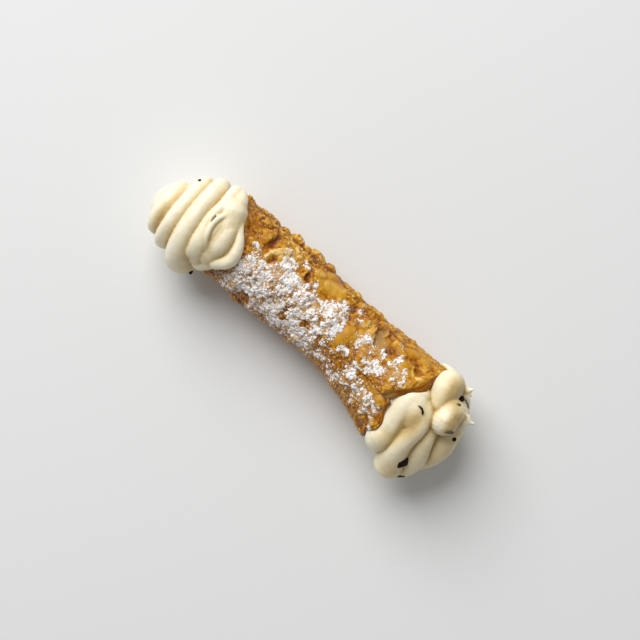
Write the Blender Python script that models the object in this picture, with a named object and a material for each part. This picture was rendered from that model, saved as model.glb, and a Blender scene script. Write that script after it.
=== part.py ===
"""A filled cannoli: a blistered fried pastry tube, and the piped cream that runs through it.

The tube lies along X on a flat strip of its underside. Its seam faces up, with a notch at each
mouth. The cream ends in a wound swirl at -X and in loose piped lobes with chocolate chips at +X.
"""

import math

import bmesh
import bpy
import numpy as np
from mathutils import Vector

MM = 0.001  # the sizes below are in millimetres

# Tube, seen from above: its waist is narrowest, and both ends flare
WAIST_X = 12.8
WAIST_HALF_WIDTH = 17.4
WAIST_HALF_HEIGHT = 16.8
WAIST_Y = 6.7
RIGHT_SPAN = 48.4
RIGHT_FLARE_WIDTH = 7.4
RIGHT_FLARE_HEIGHT = 4.2
RIGHT_DRIFT = 5.4
LEFT_SPAN = 61.6
LEFT_FLARE = 1.2
LEFT_DRIFT = 1.4
WALL = 2.0
FLAT_DEPTH = 0.5  # how much of the round underside is flat on the table

# Seam along the top, where one edge of the dough lies over the other
SEAM_ANGLE = math.radians(-23)
SEAM_DRIFT = math.radians(20)
SEAM_WAVER = math.radians(1.6)
LAP = 1.5
LAP_FAR = 0.6  # its height along most of the tube, away from the +X mouth
LAP_RISE = (5.0, 40.0)
LAP_END = math.radians(62)
LAP_SLIT = math.radians(1.2)

# Mouths: each rim is slanted, and cut back to a notch at the seam
RIGHT_MOUTH_X = 55.6
RIGHT_MOUTH_SLANT = 4.0
RIGHT_MOUTH_TURN = math.radians(75)
RIGHT_NOTCH = 12.2
RIGHT_NOTCH_UNDER = 7.2
RIGHT_NOTCH_WIDTH = math.radians(28)
RIGHT_UNDER_WIDTH = math.radians(24)
RIGHT_BAYS = (
    # shallow bays of the rim: depth, turn, half width
    (2.0, math.radians(52), math.radians(20)),
    (2.4, math.radians(305), math.radians(18)),
)
LEFT_MOUTH_X = -53.7
LEFT_MOUTH_SLANT = 2.4
LEFT_MOUTH_TURN = math.radians(105)
LEFT_NOTCH = 9.0
LEFT_NOTCH_WIDTH = math.radians(36)
RIM_ROUNDING = 0.6
UNDER_LEDGE = (0.4, 2.7)  # how far the under layer reaches past the upper one: away from the seam, at it

# Blisters of the crust: x, degrees from the top towards +Y, length, width, turn in degrees, height
NAMED_BLISTERS = (
    (-15.4, 84, 11.5, 9.0, 0, 2.9),
    (-20.5, 80, 6.0, 7.0, 0, 1.5),
    (-7.6, 84, 6.6, 8.0, 0, 2.2),
    (-26.4, 84, 8.4, 8.0, 0, 3.0),
    (-30.0, -86, 8.0, 7.0, 0, 1.6),
    (-38.6, 84, 5.0, 6.0, 0, 0.8),
    (-27.5, 32, 12.5, 4.6, 48, 1.5),
    (-36.0, 40, 9.0, 5.0, 60, 1.1),
    (17.0, 2, 8.0, 12.0, -10, 1.0),
    (1.0, 50, 13.0, 10.0, 0, 1.1),
    (26.0, 30, 8.0, 9.0, 0, 0.9),
    (43.0, 52, 10.0, 7.0, 35, 1.0),
    (29.5, 41, 6.8, 5.6, 20, -1.3),
    (50.4, 37, 5.4, 4.4, 40, -1.1),
    (-12.4, 30, 2.8, 5.4, 0, -1.3),
    (12.5, 24, 3.4, 4.0, 0, -0.9),
)
BLISTER_SEED = 7
BLISTER_COUNT = 420
BLISTER_RADIUS = (0.9, 4.2)
BLISTER_HEIGHT = 0.36  # of its radius
SOLID_BLISTER_RADIUS = 2.4  # smaller ones don't show on this mesh
CRUST_WAVE = 0.35

# Swirl of cream at the -X end, one rope wound towards its nose. Turns are counted from the top
# towards +Y; the other columns are x, the winding's middle y, its radius and the rope's radius
SWIRL = (
    (-1.10, -56.6, 1.1, 15.2, 6.0),
    (-0.50, -57.0, 1.1, 15.6, 6.8),
    (-0.25, -58.4, 0.7, 15.9, 7.9),
    (0.00, -65.0, 1.3, 16.6, 5.0),
    (0.25, -66.3, 1.9, 17.2, 4.8),
    (0.50, -68.2, 0.9, 15.8, 4.6),
    (0.75, -70.0, 0.0, 14.2, 4.4),
    (1.00, -71.6, 0.0, 14.2, 4.3),
    (1.25, -72.1, 0.8, 14.4, 4.6),
    (1.50, -74.8, -1.0, 11.5, 5.0),
    (1.75, -76.2, -1.9, 8.8, 5.4),
    (2.00, -77.8, -1.3, 8.3, 5.4),
    (2.35, -79.0, -1.5, 6.4, 4.8),
)
SWIRL_Z = 20.2
SWIRL_SQUASH = 0.93
SWIRL_BLEND = 0.07
SWIRL_LEAN = 0.1  # how far the coils' crests lean towards -X, as a share of the rope's radius
SWIRL_PROUD = 0.3  # how much further out than round the coils' crests stand, as a share of it
SWIRL_BODY = (
    # what the rope is wound round: x, middle y, radius
    (-85.8, -0.6, 2.8),
    (-84.8, -0.7, 5.7),
    (-82.6, -0.8, 8.5),
    (-79.0, -1.4, 11.7),
    (-76.0, -1.0, 13.2),
    (-72.8, 0.9, 15.7),
    (-69.5, 2.0, 17.9),
    (-66.0, 2.1, 19.2),
    (-60.0, 1.6, 19.8),
)
SWIRL_HEART = ((-46.0, 4.0, 19.0, 13.0), (-60.0, 1.5, 19.5, 17.0), (-68.0, 0.5, 19.5, 13.0))

# Strands piped over the -X mouth: x, y, lift over the bed that they lie on, radius
FOLDS = {
    "fold_bed": ((-55.0, 13.0, -4.6, 7.6), (-51.6, 4.0, -5.4, 8.8), (-51.8, -3.6, -5.0, 7.8)),
    "left_lobe": ((-59.4, 21.2, -2.0, 3.5), (-59.0, 13.6, -1.4, 2.8), (-59.5, 8.0, -1.3, 2.5),
                  (-59.0, 2.6, -1.6, 3.2), (-57.4, -2.0, -1.9, 4.8), (-56.4, -6.4, -2.2, 5.3),
                  (-54.2, -9.6, -3.0, 4.6)),
    "thin_fold": ((-50.8, 15.0, 0.8, 1.3), (-54.2, 12.4, 0.9, 1.3), (-56.7, 8.6, 1.1, 1.4),
                  (-57.0, 3.6, 1.4, 1.4), (-55.6, -0.8, 1.9, 1.3), (-52.8, -5.2, 2.0, 1.3),
                  (-49.6, -8.8, 0.9, 1.4)),
    "fold_fill": ((-53.6, 11.5, 0.2, 1.6), (-54.6, 7.5, 0.5, 1.7), (-54.4, 3.0, 0.7, 1.7),
                  (-53.0, -1.0, 0.7, 1.6), (-50.6, -5.0, 0.4, 1.5)),
    "oval_dome": ((-51.2, 11.2, -1.0, 3.2), (-50.2, 6.0, -0.8, 4.5), (-49.3, 0.6, -0.9, 4.8),
                  (-49.2, -4.2, -1.6, 4.0)),
    "rim_strand": ((-51.0, 15.6, -0.1, 1.3), (-47.3, 10.7, -0.1, 1.8), (-43.6, 5.9, -0.3, 2.5),
                   (-41.8, 1.1, -0.5, 3.1), (-42.3, -3.1, -0.5, 3.3), (-45.8, -6.7, -0.4, 3.0)),
    "under_fold": ((-48.6, -8.6, -2.0, 3.6), (-51.4, -10.8, -2.4, 4.2)),
    "cap_fold": ((-57.2, 21.2, -2.0, 3.6), (-55.2, 18.4, -1.5, 3.9), (-53.8, 14.8, -1.6, 3.2)),
}
BED_STEP_X = -54.0
BED_OUT = 3.2

# Strands and lobes piped out of the +X mouth: x, y, z, radius
LOBES = {
    "heart": ((49.0, 2.5, 17.5, 12.0), (60.0, 1.0, 19.5, 15.5), (67.0, 0.0, 19.0, 13.0)),
    "upper_lobe": ((66.0, 22.4, 19.0, 5.6), (64.9, 21.6, 26.6, 6.7), (64.5, 19.2, 32.0, 6.7),
                   (66.0, 12.6, 32.0, 5.8)),
    "round_lobe": ((72.4, 13.7, 34.0, 5.8), (72.8, 8.2, 34.6, 6.2)),
    "left_strand": ((57.8, 8.4, 33.2, 6.0), (56.3, 3.8, 33.8, 6.5), (56.6, -3.9, 32.2, 6.4),
                    (57.8, -10.8, 29.8, 6.3), (57.3, -15.4, 27.8, 6.3), (58.4, -16.8, 19.5, 5.8)),
    "middle_strand": ((60.0, 8.0, 33.6, 4.6), (64.0, 4.8, 35.2, 4.5), (66.0, -1.7, 35.0, 4.4),
                      (65.9, -8.7, 33.0, 4.5), (66.4, -15.3, 27.8, 5.8), (68.4, -21.0, 21.0, 7.1)),
    "merged_top": ((58.6, 6.8, 34.0, 5.8), (60.6, 3.4, 34.8, 5.8), (62.2, -0.2, 34.2, 5.4)),
    "valley": ((60.8, 2.0, 33.0, 5.0), (61.6, -4.0, 31.4, 4.4), (61.8, -11.0, 29.6, 4.0),
               (62.0, -15.0, 26.6, 4.2), (62.0, -16.6, 20.0, 4.4)),
    "right_strand": ((70.4, 2.0, 31.0, 3.8), (72.7, -5.5, 29.5, 4.6), (75.0, -12.1, 24.5, 5.1),
                     (74.2, -17.2, 18.0, 5.6)),
    "end_lobe": ((78.4, 6.8, 24.0, 5.4), (79.6, -0.2, 22.5, 6.0), (78.8, -6.2, 20.0, 6.0),
                 (76.8, -11.4, 15.5, 5.6)),
    "back_lobe": ((73.6, 19.8, 19.5, 4.4), (76.4, 14.2, 23.0, 5.0), (78.4, 8.0, 23.5, 5.4)),
    "collar": ((54.0, -10.6, 27.8, 4.9), (54.0, -2.0, 32.0, 4.9), (54.6, 8.2, 31.9, 5.0),
               (55.4, 15.4, 27.8, 5.1), (55.8, 18.8, 21.9, 5.1), (55.6, 18.6, 16.0, 5.0)),
    "low_left": ((57.5, -9.0, 10.0, 8.8), (68.0, -8.5, 10.0, 9.4)),
    "low_right": ((57.5, 9.5, 10.5, 9.0), (70.0, 9.0, 10.5, 9.6)),
    "low_end": ((70.0, 0.0, 11.5, 9.0), (75.4, 1.0, 12.0, 8.4)),
    "top_smear": ((57.6, 26.6, 21.5, 0.8), (60.4, 26.8, 22.5, 1.3), (63.4, 26.0, 24.4, 2.2)),
    "upper_wisp": ((68.6, 22.4, 25.4, 2.8), (70.8, 24.2, 27.0, 1.9), (72.4, 25.4, 28.0, 1.3),
                   (73.4, 26.8, 28.8, 0.7)),
    "wisp_branch": ((71.2, 23.4, 26.6, 1.7), (73.2, 24.4, 27.4, 1.1), (74.6, 24.2, 27.6, 0.7)),
    "end_wisp": ((80.0, 6.6, 25.0, 2.6), (80.4, 11.4, 27.8, 1.9), (80.8, 15.0, 29.6, 1.3),
                 (79.8, 16.6, 30.0, 1.1), (78.2, 16.4, 29.0, 0.9)),
    "end_branch": ((80.6, 13.8, 29.0, 1.3), (82.2, 15.4, 30.0, 1.0), (83.4, 16.0, 30.2, 0.7)),
}

# Chocolate chips that stand out of the cream, seen from above: x, y, length, width, height, turn in degrees
CHIPS = (
    (61.3, 5.4, 4.6, 1.8, 1.8, -16),
    (72.0, -16.9, 5.6, 5.2, 2.6, -64),
    (75.8, -22.4, 5.6, 1.6, 2.0, 66),
    (81.8, 5.4, 2.1, 2.0, 1.8, 0),
    (72.8, 20.6, 3.2, 2.8, 2.4, -30),
    (72.2, 17.7, 2.1, 1.3, 1.4, 32),
    (77.0, 6.2, 4.4, 1.6, 1.6, 30),
    (76.2, 20.6, 4.6, 1.4, 1.6, -35),
    (-74.8, 14.9, 1.7, 1.6, 1.6, 0),
    (-52.2, -17.2, 2.6, 1.6, 2.6, -65),
    (-58.4, 6.5, 4.2, 1.2, 1.6, 97),
)
CHIP_SUNK = 0.15  # of its height
CHIP_DROP = 80.0  # height from which the cream's top is looked for
CHIP_LIFT = 0.8  # how much a chip leans towards facing up, so that its outline shows from above

# Fineness of the solids
SHELL_COLUMNS = 52
SHELL_ROWS = 46
INNER_ROWS = 8
CORE_COLUMNS = 28
CORE_ROWS = 7
CORE_START_X = -50.0
CORE_END_X = 50.5
ROPE_SIDES = 10
SWIRL_RINGS = 92
BODY_SIDES = 24
STRAND_SIDES = 8
STRAND_STEP = 2.6
LOBE_SIDES = 10
HEART_SIDES = 14
CLEARANCE = 0.3
CORE_CLEARANCE = 0.5


def smooth(t):
    """0 to 1 without a kink, as t goes from 0 to 1."""
    t = np.clip(t, 0.0, 1.0)
    return t * t * (3.0 - 2.0 * t)


def to_right(x):
    return np.clip((x - WAIST_X) / RIGHT_SPAN, 0.0, None)


def to_left(x):
    return np.clip((WAIST_X - x) / LEFT_SPAN, 0.0, None)


def half_width(x):
    return WAIST_HALF_WIDTH + RIGHT_FLARE_WIDTH * to_right(x) ** 1.45 + LEFT_FLARE * to_left(x) ** 1.5


def half_height(x):
    return WAIST_HALF_HEIGHT + RIGHT_FLARE_HEIGHT * to_right(x) ** 1.55 + LEFT_FLARE * to_left(x) ** 1.5


def centre_y(x):
    return WAIST_Y - RIGHT_DRIFT * to_right(x) ** 1.25 - LEFT_DRIFT * to_left(x) ** 1.3


def centre_z(x):
    return half_height(x) - FLAT_DEPTH


def on_tube(x, angle, out):
    """Points at an angle from the top towards +Y, moved out from the tube's nominal surface."""
    y = centre_y(x) + (half_width(x) + out) * np.sin(angle)
    z = centre_z(x) + (half_height(x) + out) * np.cos(angle)
    return np.stack([x + 0.0 * angle, y, z], axis=-1)


def seam_at(x):
    """Angle of the seam's upper edge from the top, which drifts as the tube flares."""
    return SEAM_ANGLE + SEAM_DRIFT * to_right(x) + SEAM_WAVER * np.sin(0.21 * x + 0.6)


def right_rim(turn):
    """X of the +X rim at a turn from the seam's upper edge towards +Y."""
    back = 2.0 * math.pi - turn
    slanted = RIGHT_MOUTH_X + RIGHT_MOUTH_SLANT * np.cos(turn - RIGHT_MOUTH_TURN)
    upper = RIGHT_NOTCH * np.exp(-((turn / RIGHT_NOTCH_WIDTH) ** 2))
    under = RIGHT_NOTCH_UNDER * np.exp(-((back / RIGHT_UNDER_WIDTH) ** 2))
    bays = sum(depth * np.exp(-(((turn - at) / wide) ** 2)) for depth, at, wide in RIGHT_BAYS)
    ragged = 0.35 * np.sin(7.0 * turn) + 0.25 * np.sin(12.0 * turn + 1.0)
    return slanted - upper - under - bays + ragged


def left_rim(turn):
    back = 2.0 * math.pi - turn
    slanted = LEFT_MOUTH_X - LEFT_MOUTH_SLANT * np.cos(turn - LEFT_MOUTH_TURN)
    upper = np.exp(-((turn / LEFT_NOTCH_WIDTH) ** 2))
    under = np.exp(-((back / LEFT_NOTCH_WIDTH) ** 2))
    return slanted + LEFT_NOTCH * (upper + under) + 0.35 * np.sin(6.0 * turn + 2.0)


def all_blisters():
    """Named blisters, then random ones: x, angle, half length, half width, turn, height."""
    found = [
        (x, math.radians(angle), length / 2, width / 2, math.radians(turn), height)
        for x, angle, length, width, turn, height in NAMED_BLISTERS
    ]
    draw = np.random.default_rng(BLISTER_SEED)
    small, large = BLISTER_RADIUS
    for _ in range(BLISTER_COUNT):
        x = draw.uniform(-56.0, 58.0)
        angle = draw.uniform(-math.pi, math.pi)
        radius = small + (large - small) * draw.random() ** 2.2
        stretch = draw.uniform(0.75, 1.35)
        turn = draw.uniform(0.0, math.pi)
        height = BLISTER_HEIGHT * radius * draw.uniform(0.5, 1.0)
        found.append((x, angle, radius * stretch, radius / stretch, turn, height))
    return found


def crust_relief(x, angle, smallest):
    """How far the blisters no smaller than a radius raise or dent the crust. It fades on the underside."""
    raised = np.zeros_like(x)
    dented = np.zeros_like(x)
    for at_x, at_angle, along, across, turn, height in all_blisters():
        if min(along, across) < smallest and height > 0:
            continue
        off = (angle - at_angle + math.pi) % (2.0 * math.pi) - math.pi
        u = x - at_x
        v = off * half_width(x)
        c, s = math.cos(turn), math.sin(turn)
        d2 = ((u * c + v * s) / along) ** 2 + ((v * c - u * s) / across) ** 2
        dome = np.clip(1.0 - d2, 0.0, None) ** 0.75
        if height > 0:
            raised = np.maximum(raised, height * dome)
        else:
            dented = np.minimum(dented, height * dome)
    wave = CRUST_WAVE * np.sin(0.31 * x + 2.0 * angle) * np.sin(0.17 * x - 3.0 * angle + 1.0)
    below = smooth((np.cos(angle) + 1.0) / 0.35)
    return (raised + dented + wave) * below


def lap_share(turn):
    """1 where the dough is double, beside the seam's upper edge, thinning out to 0."""
    return 1.0 - smooth((turn - 0.45 * LAP_END) / (0.55 * LAP_END))


def lap_height(x, turn):
    low, high = LAP_RISE
    return (LAP_FAR + (LAP - LAP_FAR) * smooth((x - low) / (high - low))) * lap_share(turn)


def mesh_object(name, points, faces):
    mesh = bpy.data.meshes.new(name)
    mesh.from_pydata([Vector(p) * MM for p in points], [], faces)
    mesh.update()
    made = bpy.data.objects.new(name, mesh)
    bpy.context.scene.collection.objects.link(made)
    return made


def tube_wall(name, grow):
    """The pastry wall as a grid that is closed both ways: outside, right rim, inside, left rim."""
    turns = np.linspace(0.0, 2.0 * math.pi - LAP_SLIT, SHELL_COLUMNS)
    start = left_rim(turns) - grow
    end = right_rim(turns) + grow
    rows = []
    for share in np.linspace(0.0, 1.0, SHELL_ROWS):
        x = start + (end - start) * share
        angles = turns + seam_at(x)
        row = on_tube(x, angles, lap_height(x, turns) + crust_relief(x, angles, SOLID_BLISTER_RADIUS) + grow)
        row[:, 2] = np.maximum(row[:, 2], -grow)
        rows.append(row)
    ledge = UNDER_LEDGE[0] + UNDER_LEDGE[1] * lap_share(turns)
    for share in (0.15, 1.0):
        row = on_tube(end + ledge * share, turns + seam_at(end), grow - 0.3 * share * np.ones(SHELL_COLUMNS))
        row[:, 2] = np.maximum(row[:, 2], -grow)
        rows.append(row)
    end = end + ledge
    rows.append(on_tube(end + RIM_ROUNDING, turns + seam_at(end), -0.5 * WALL))
    for share in np.linspace(1.0, 0.0, INNER_ROWS):
        x = start + (end - start) * share
        rows.append(on_tube(x, turns + seam_at(x), -WALL - grow))
    rows.append(on_tube(start - RIM_ROUNDING, turns + seam_at(start), -0.5 * WALL))
    points = np.concatenate(rows)
    count = len(rows)
    faces = []
    for i in range(count):
        here = i * SHELL_COLUMNS
        ahead = (i + 1) % count * SHELL_COLUMNS
        for j in range(SHELL_COLUMNS):
            k = (j + 1) % SHELL_COLUMNS
            faces.append((here + j, ahead + j, ahead + k, here + k))
    return mesh_object(name, points, faces)


def curve_through(stations, step):
    """A smooth line through stations of x, y, z and radius, with a ring every step or so."""
    given = np.array(stations, float)
    if len(given) == 2:
        given = np.array([given[0], given.mean(axis=0), given[1]])
    padded = np.vstack([2 * given[0] - given[1], given, 2 * given[-1] - given[-2]])
    found = []
    for a, b, c, d in zip(padded[:-3], padded[1:-2], padded[2:-1], padded[3:]):
        count = max(2, round(float(np.linalg.norm((c - b)[:3])) / step))
        for t in np.arange(count) / count:
            bend = (2 * a - 5 * b + 4 * c - d) * t**2 + (3 * b - a - 3 * c + d) * t**3
            found.append(0.5 * (2 * b + (c - a) * t + bend))
    found.append(given[-1])
    return np.array(found)


def rope(name, line, sides, outward_ways=None):
    """A closed strand along a line of x, y, z and radius, with round ends.

    With the way outward at each ring, it is the swirl's rope, whose crest stands proud and leans.
    """
    points = line[:, :3]
    radii = line[:, 3]
    along = np.gradient(points, axis=0)
    along /= np.linalg.norm(along, axis=1)[:, None]
    side = np.cross(along[0], (0.3, 0.2, 1.0))
    rings = []
    cap = ((0.92, 0.4), (0.6, 0.8))
    for i, centre in enumerate(points):
        side = side - along[i] * side.dot(along[i])
        side /= np.linalg.norm(side)
        other = np.cross(along[i], side)
        turns = np.arange(sides) * 2.0 * math.pi / sides
        spokes = np.outer(np.cos(turns), side) + np.outer(np.sin(turns), other)
        if outward_ways is not None:
            rise = (spokes @ outward_ways[i])[:, None]
            spokes = spokes + rise * (SWIRL_PROUD * outward_ways[i] - (SWIRL_LEAN, 0.0, 0.0))
        if i == 0:
            rings += [centre + radii[i] * (spokes * wide - along[i] * out) for out, wide in cap]
        rings.append(centre + spokes * radii[i])
        if i == len(points) - 1:
            rings += [centre + radii[i] * (spokes * wide + along[i] * out) for out, wide in cap[::-1]]
    tips = [points[0] - along[0] * radii[0], points[-1] + along[-1] * radii[-1]]
    vertices = np.concatenate([*rings, np.array(tips)])
    first_tip = len(vertices) - 2
    faces = []
    for i in range(len(rings) - 1):
        for j in range(sides):
            k = (j + 1) % sides
            faces.append((i * sides + j, i * sides + k, (i + 1) * sides + k, (i + 1) * sides + j))
    last = (len(rings) - 1) * sides
    for j in range(sides):
        k = (j + 1) % sides
        faces.append((k, j, first_tip))
        faces.append((last + j, last + k, first_tip + 1))
    return mesh_object(name, vertices, faces)


def swirl_line():
    """The rope of the swirl, with its stations blended into each other."""
    given = np.array(SWIRL)
    turn = np.linspace(given[0, 0], given[-1, 0], SWIRL_RINGS)
    shifts = SWIRL_BLEND * np.array([-1.0, -0.5, 0.0, 0.5, 1.0])
    x, middle, wide, radius = (
        np.mean([np.interp(turn + shift, given[:, 0], given[:, column]) for shift in shifts], axis=0)
        for column in range(1, 5)
    )
    wide = wide - SWIRL_PROUD * radius
    y = middle + wide * np.sin(2.0 * math.pi * turn)
    z = SWIRL_Z + SWIRL_SQUASH * wide * np.cos(2.0 * math.pi * turn)
    return np.column_stack([x, y, z, radius])


def ways_outward(line):
    """For each ring of the swirl's rope, the way out from the middle."""
    out = line[:, :3] - (0.0, 0.0, SWIRL_Z)
    out[:, 0] = 0.0
    return out / np.linalg.norm(out, axis=1)[:, None]


def closed_tube(name, rings):
    """A solid of rings joined in a row, with a flat face at both ends."""
    sides = len(rings[0])
    faces = []
    for i in range(len(rings) - 1):
        for j in range(sides):
            k = (j + 1) % sides
            a, b = i * sides, (i + 1) * sides
            faces.append((a + j, b + j, b + k, a + k))
    faces.append(tuple(range(sides)))
    faces.append(tuple(reversed([(len(rings) - 1) * sides + j for j in range(sides)])))
    return mesh_object(name, np.concatenate(rings), faces)


def swirl_body():
    """The cream that the swirl's rope is wound round."""
    turns = np.arange(BODY_SIDES) * 2.0 * math.pi / BODY_SIDES
    rings = []
    for x, middle, radius in SWIRL_BODY:
        y = middle + radius * np.sin(turns)
        z = SWIRL_Z + SWIRL_SQUASH * radius * np.cos(turns)
        rings.append(np.column_stack([np.full(BODY_SIDES, x), y, z]))
    return closed_tube("swirl_body", rings)


def bed_height(x, y):
    """Height of what the folds at the -X mouth lie on: the tube, and past its rim the wound cream."""
    out = LAP + (BED_OUT - LAP) * smooth((BED_STEP_X + 3.0 - x) / 6.0)
    across = np.clip((y - centre_y(x)) / (half_width(x) + out), -0.98, 0.98)
    return centre_z(x) + (half_height(x) + out) * math.sqrt(1.0 - across**2)


def chip(name, cream, x, y, length, width, height, turn):
    """A broken chip of chocolate, partly sunk in the cream right below the place given."""
    _, point, normal, _ = cream.ray_cast(Vector((x, y, CHIP_DROP)) * MM, Vector((0.0, 0.0, -1.0)))
    normal = (normal + Vector((0.0, 0.0, CHIP_LIFT))).normalized()
    ahead = Vector((math.cos(math.radians(turn)), math.sin(math.radians(turn)), 0.0))
    ahead = (ahead - normal * ahead.dot(normal)).normalized()
    beside = normal.cross(ahead)
    middle = point / MM - normal * (CHIP_SUNK * height)
    corners = []
    for level, narrow in ((-0.5, 1.0), (0.5, 0.75)):
        for i, j in ((-0.5, -0.5), (0.5, -0.4), (0.42, 0.5), (-0.1, 0.56), (-0.52, 0.2)):
            along = i * length * narrow
            across = j * width * narrow
            corners.append(middle + ahead * along + beside * across + normal * (level * height + 0.2 * along))
    sides = [(i, (i + 1) % 5, (i + 1) % 5 + 5, i + 5) for i in range(5)]
    return mesh_object(name, corners, [(4, 3, 2, 1, 0), (5, 6, 7, 8, 9), *sides])


def core_of_cream():
    """The cream inside the tube, closed at both ends, clear of the wall."""
    turns = np.arange(CORE_COLUMNS) * 2.0 * math.pi / CORE_COLUMNS
    rows = [
        on_tube(np.full(CORE_COLUMNS, x), turns, -WALL - CORE_CLEARANCE)
        for x in np.linspace(CORE_START_X, CORE_END_X, CORE_ROWS)
    ]
    return closed_tube("filling", rows)


def table_slab():
    """Everything below the table, which cuts the cream flat where it rests."""
    bpy.ops.mesh.primitive_cube_add(size=1.0, location=(0, 0, -10.0 * MM))
    slab = bpy.context.object
    slab.name = "table_cutter"
    slab.scale = (0.3, 0.15, 20.0 * MM)
    bpy.ops.object.transform_apply(location=True, rotation=True, scale=True)
    return slab


def outward(made):
    work = bmesh.new()
    work.from_mesh(made.data)
    bmesh.ops.recalc_face_normals(work, faces=work.faces)
    work.to_mesh(made.data)
    work.free()
    return made


def boolean(made, operation, other):
    """Applies a Boolean with an object or a collection, and removes what it used."""
    step = made.modifiers.new(operation.lower(), "BOOLEAN")
    step.operation = operation
    step.solver = "EXACT"
    step.use_self = operation == "UNION"
    if isinstance(other, bpy.types.Collection):
        step.operand_type = "COLLECTION"
        step.collection = other
        used = list(other.objects)
    else:
        step.object = other
        used = [other]
    bpy.context.view_layer.objects.active = made
    bpy.ops.object.modifier_apply(modifier=step.name)
    for helper in used:
        bpy.data.objects.remove(helper)
    if isinstance(other, bpy.types.Collection):
        bpy.data.collections.remove(other)


def drop_scraps(made):
    """Keeps the main body and removes loose scraps and closed pockets that a cut leaves."""
    work = bmesh.new()
    work.from_mesh(made.data)
    left = set(work.faces)
    islands = []
    while left:
        island = set()
        front = [next(iter(left))]
        while front:
            face = front.pop()
            if face not in island:
                island.add(face)
                front += [beside for edge in face.edges for beside in edge.link_faces]
        islands.append(island)
        left -= island
    most = max(len(island) for island in islands)
    for island in islands:
        if len(island) < most:
            bmesh.ops.delete(work, geom=list(island), context="FACES")
    work.to_mesh(made.data)
    work.free()


def finish(made, colour, roughness, specular):
    material = bpy.data.materials.new(made.name)
    material.use_nodes = True
    shader = material.node_tree.nodes["Principled BSDF"]
    shader.inputs["Base Color"].default_value = (*colour, 1.0)
    shader.inputs["Roughness"].default_value = roughness
    shader.inputs["Specular IOR Level"].default_value = specular
    shader.inputs["Metallic"].default_value = 0.0
    made.data.materials.clear()
    made.data.materials.append(material)
    made.data.shade_smooth()
    made.data.set_sharp_from_angle(angle=math.radians(40))


def build_shell():
    shell = outward(tube_wall("shell", 0.0))
    finish(shell, (0.56, 0.29, 0.07), 0.55, 0.4)
    return shell


def join_all(made, name, pieces):
    """Fuses pieces to an object with one Boolean on their collection."""
    gathered = bpy.data.collections.new(name)
    bpy.context.scene.collection.children.link(gathered)
    for piece in pieces:
        outward(piece)
        bpy.context.scene.collection.objects.unlink(piece)
        gathered.objects.link(piece)
    boolean(made, "UNION", gathered)


def build_filling():
    filling = outward(core_of_cream())
    swirl = swirl_line()
    ropes = [swirl_body(), rope("swirl", swirl, ROPE_SIDES, ways_outward(swirl))]
    for name, stations in FOLDS.items():
        laid = [(x, y, bed_height(x, y) + lift, radius) for x, y, lift, radius in stations]
        ropes.append(rope(name, curve_through(laid, STRAND_STEP), STRAND_SIDES))
    for name, stations in {"swirl_heart": SWIRL_HEART, **LOBES}.items():
        largest = max(station[3] for station in stations)
        sides = HEART_SIDES if largest > 10 else LOBE_SIDES
        ropes.append(rope(name, curve_through(stations, max(0.75 * largest, STRAND_STEP)), sides))
    join_all(filling, "cream_pieces", ropes)
    chips = [chip(f"chip_{number}", filling, *place) for number, place in enumerate(CHIPS)]
    join_all(filling, "chips", chips)
    boolean(filling, "DIFFERENCE", outward(tube_wall("wall_cutter", CLEARANCE)))
    boolean(filling, "DIFFERENCE", table_slab())
    drop_scraps(filling)
    finish(filling, (0.84, 0.74, 0.50), 0.42, 0.5)
    return filling


def main():
    for old in list(bpy.data.objects):
        bpy.data.objects.remove(old)
    build_shell()
    build_filling()


main()
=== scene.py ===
"""The looks of a filled cannoli: blistered pastry, powdered sugar, piped cream and chocolate chips.

The pastry and the cream repeat the forms of the solids that they replace, with finer relief. Angles
on the tube are counted from the top towards +Y. Sizes are in millimetres.
"""

import math

import bmesh
import bpy
import numpy as np
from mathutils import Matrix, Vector
from mathutils.bvhtree import BVHTree


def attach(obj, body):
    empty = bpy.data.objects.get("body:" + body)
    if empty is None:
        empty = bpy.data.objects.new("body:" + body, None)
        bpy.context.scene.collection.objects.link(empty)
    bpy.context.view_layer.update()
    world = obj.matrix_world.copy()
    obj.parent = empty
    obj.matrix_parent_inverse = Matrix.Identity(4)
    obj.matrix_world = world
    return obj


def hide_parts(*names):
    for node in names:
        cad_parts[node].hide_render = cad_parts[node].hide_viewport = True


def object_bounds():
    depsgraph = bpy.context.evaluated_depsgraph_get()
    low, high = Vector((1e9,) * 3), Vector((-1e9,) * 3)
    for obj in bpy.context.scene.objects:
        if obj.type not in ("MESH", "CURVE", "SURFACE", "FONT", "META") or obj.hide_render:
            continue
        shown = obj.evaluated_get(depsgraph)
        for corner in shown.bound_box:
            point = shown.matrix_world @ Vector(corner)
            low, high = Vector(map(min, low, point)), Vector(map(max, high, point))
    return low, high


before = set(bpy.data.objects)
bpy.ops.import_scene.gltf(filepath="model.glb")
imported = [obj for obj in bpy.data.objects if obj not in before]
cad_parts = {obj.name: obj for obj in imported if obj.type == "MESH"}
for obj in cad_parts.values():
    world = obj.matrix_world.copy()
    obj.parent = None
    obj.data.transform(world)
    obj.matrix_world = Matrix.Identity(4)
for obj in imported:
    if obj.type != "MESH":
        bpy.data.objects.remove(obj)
cad_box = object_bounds()

MM = 0.001

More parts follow.
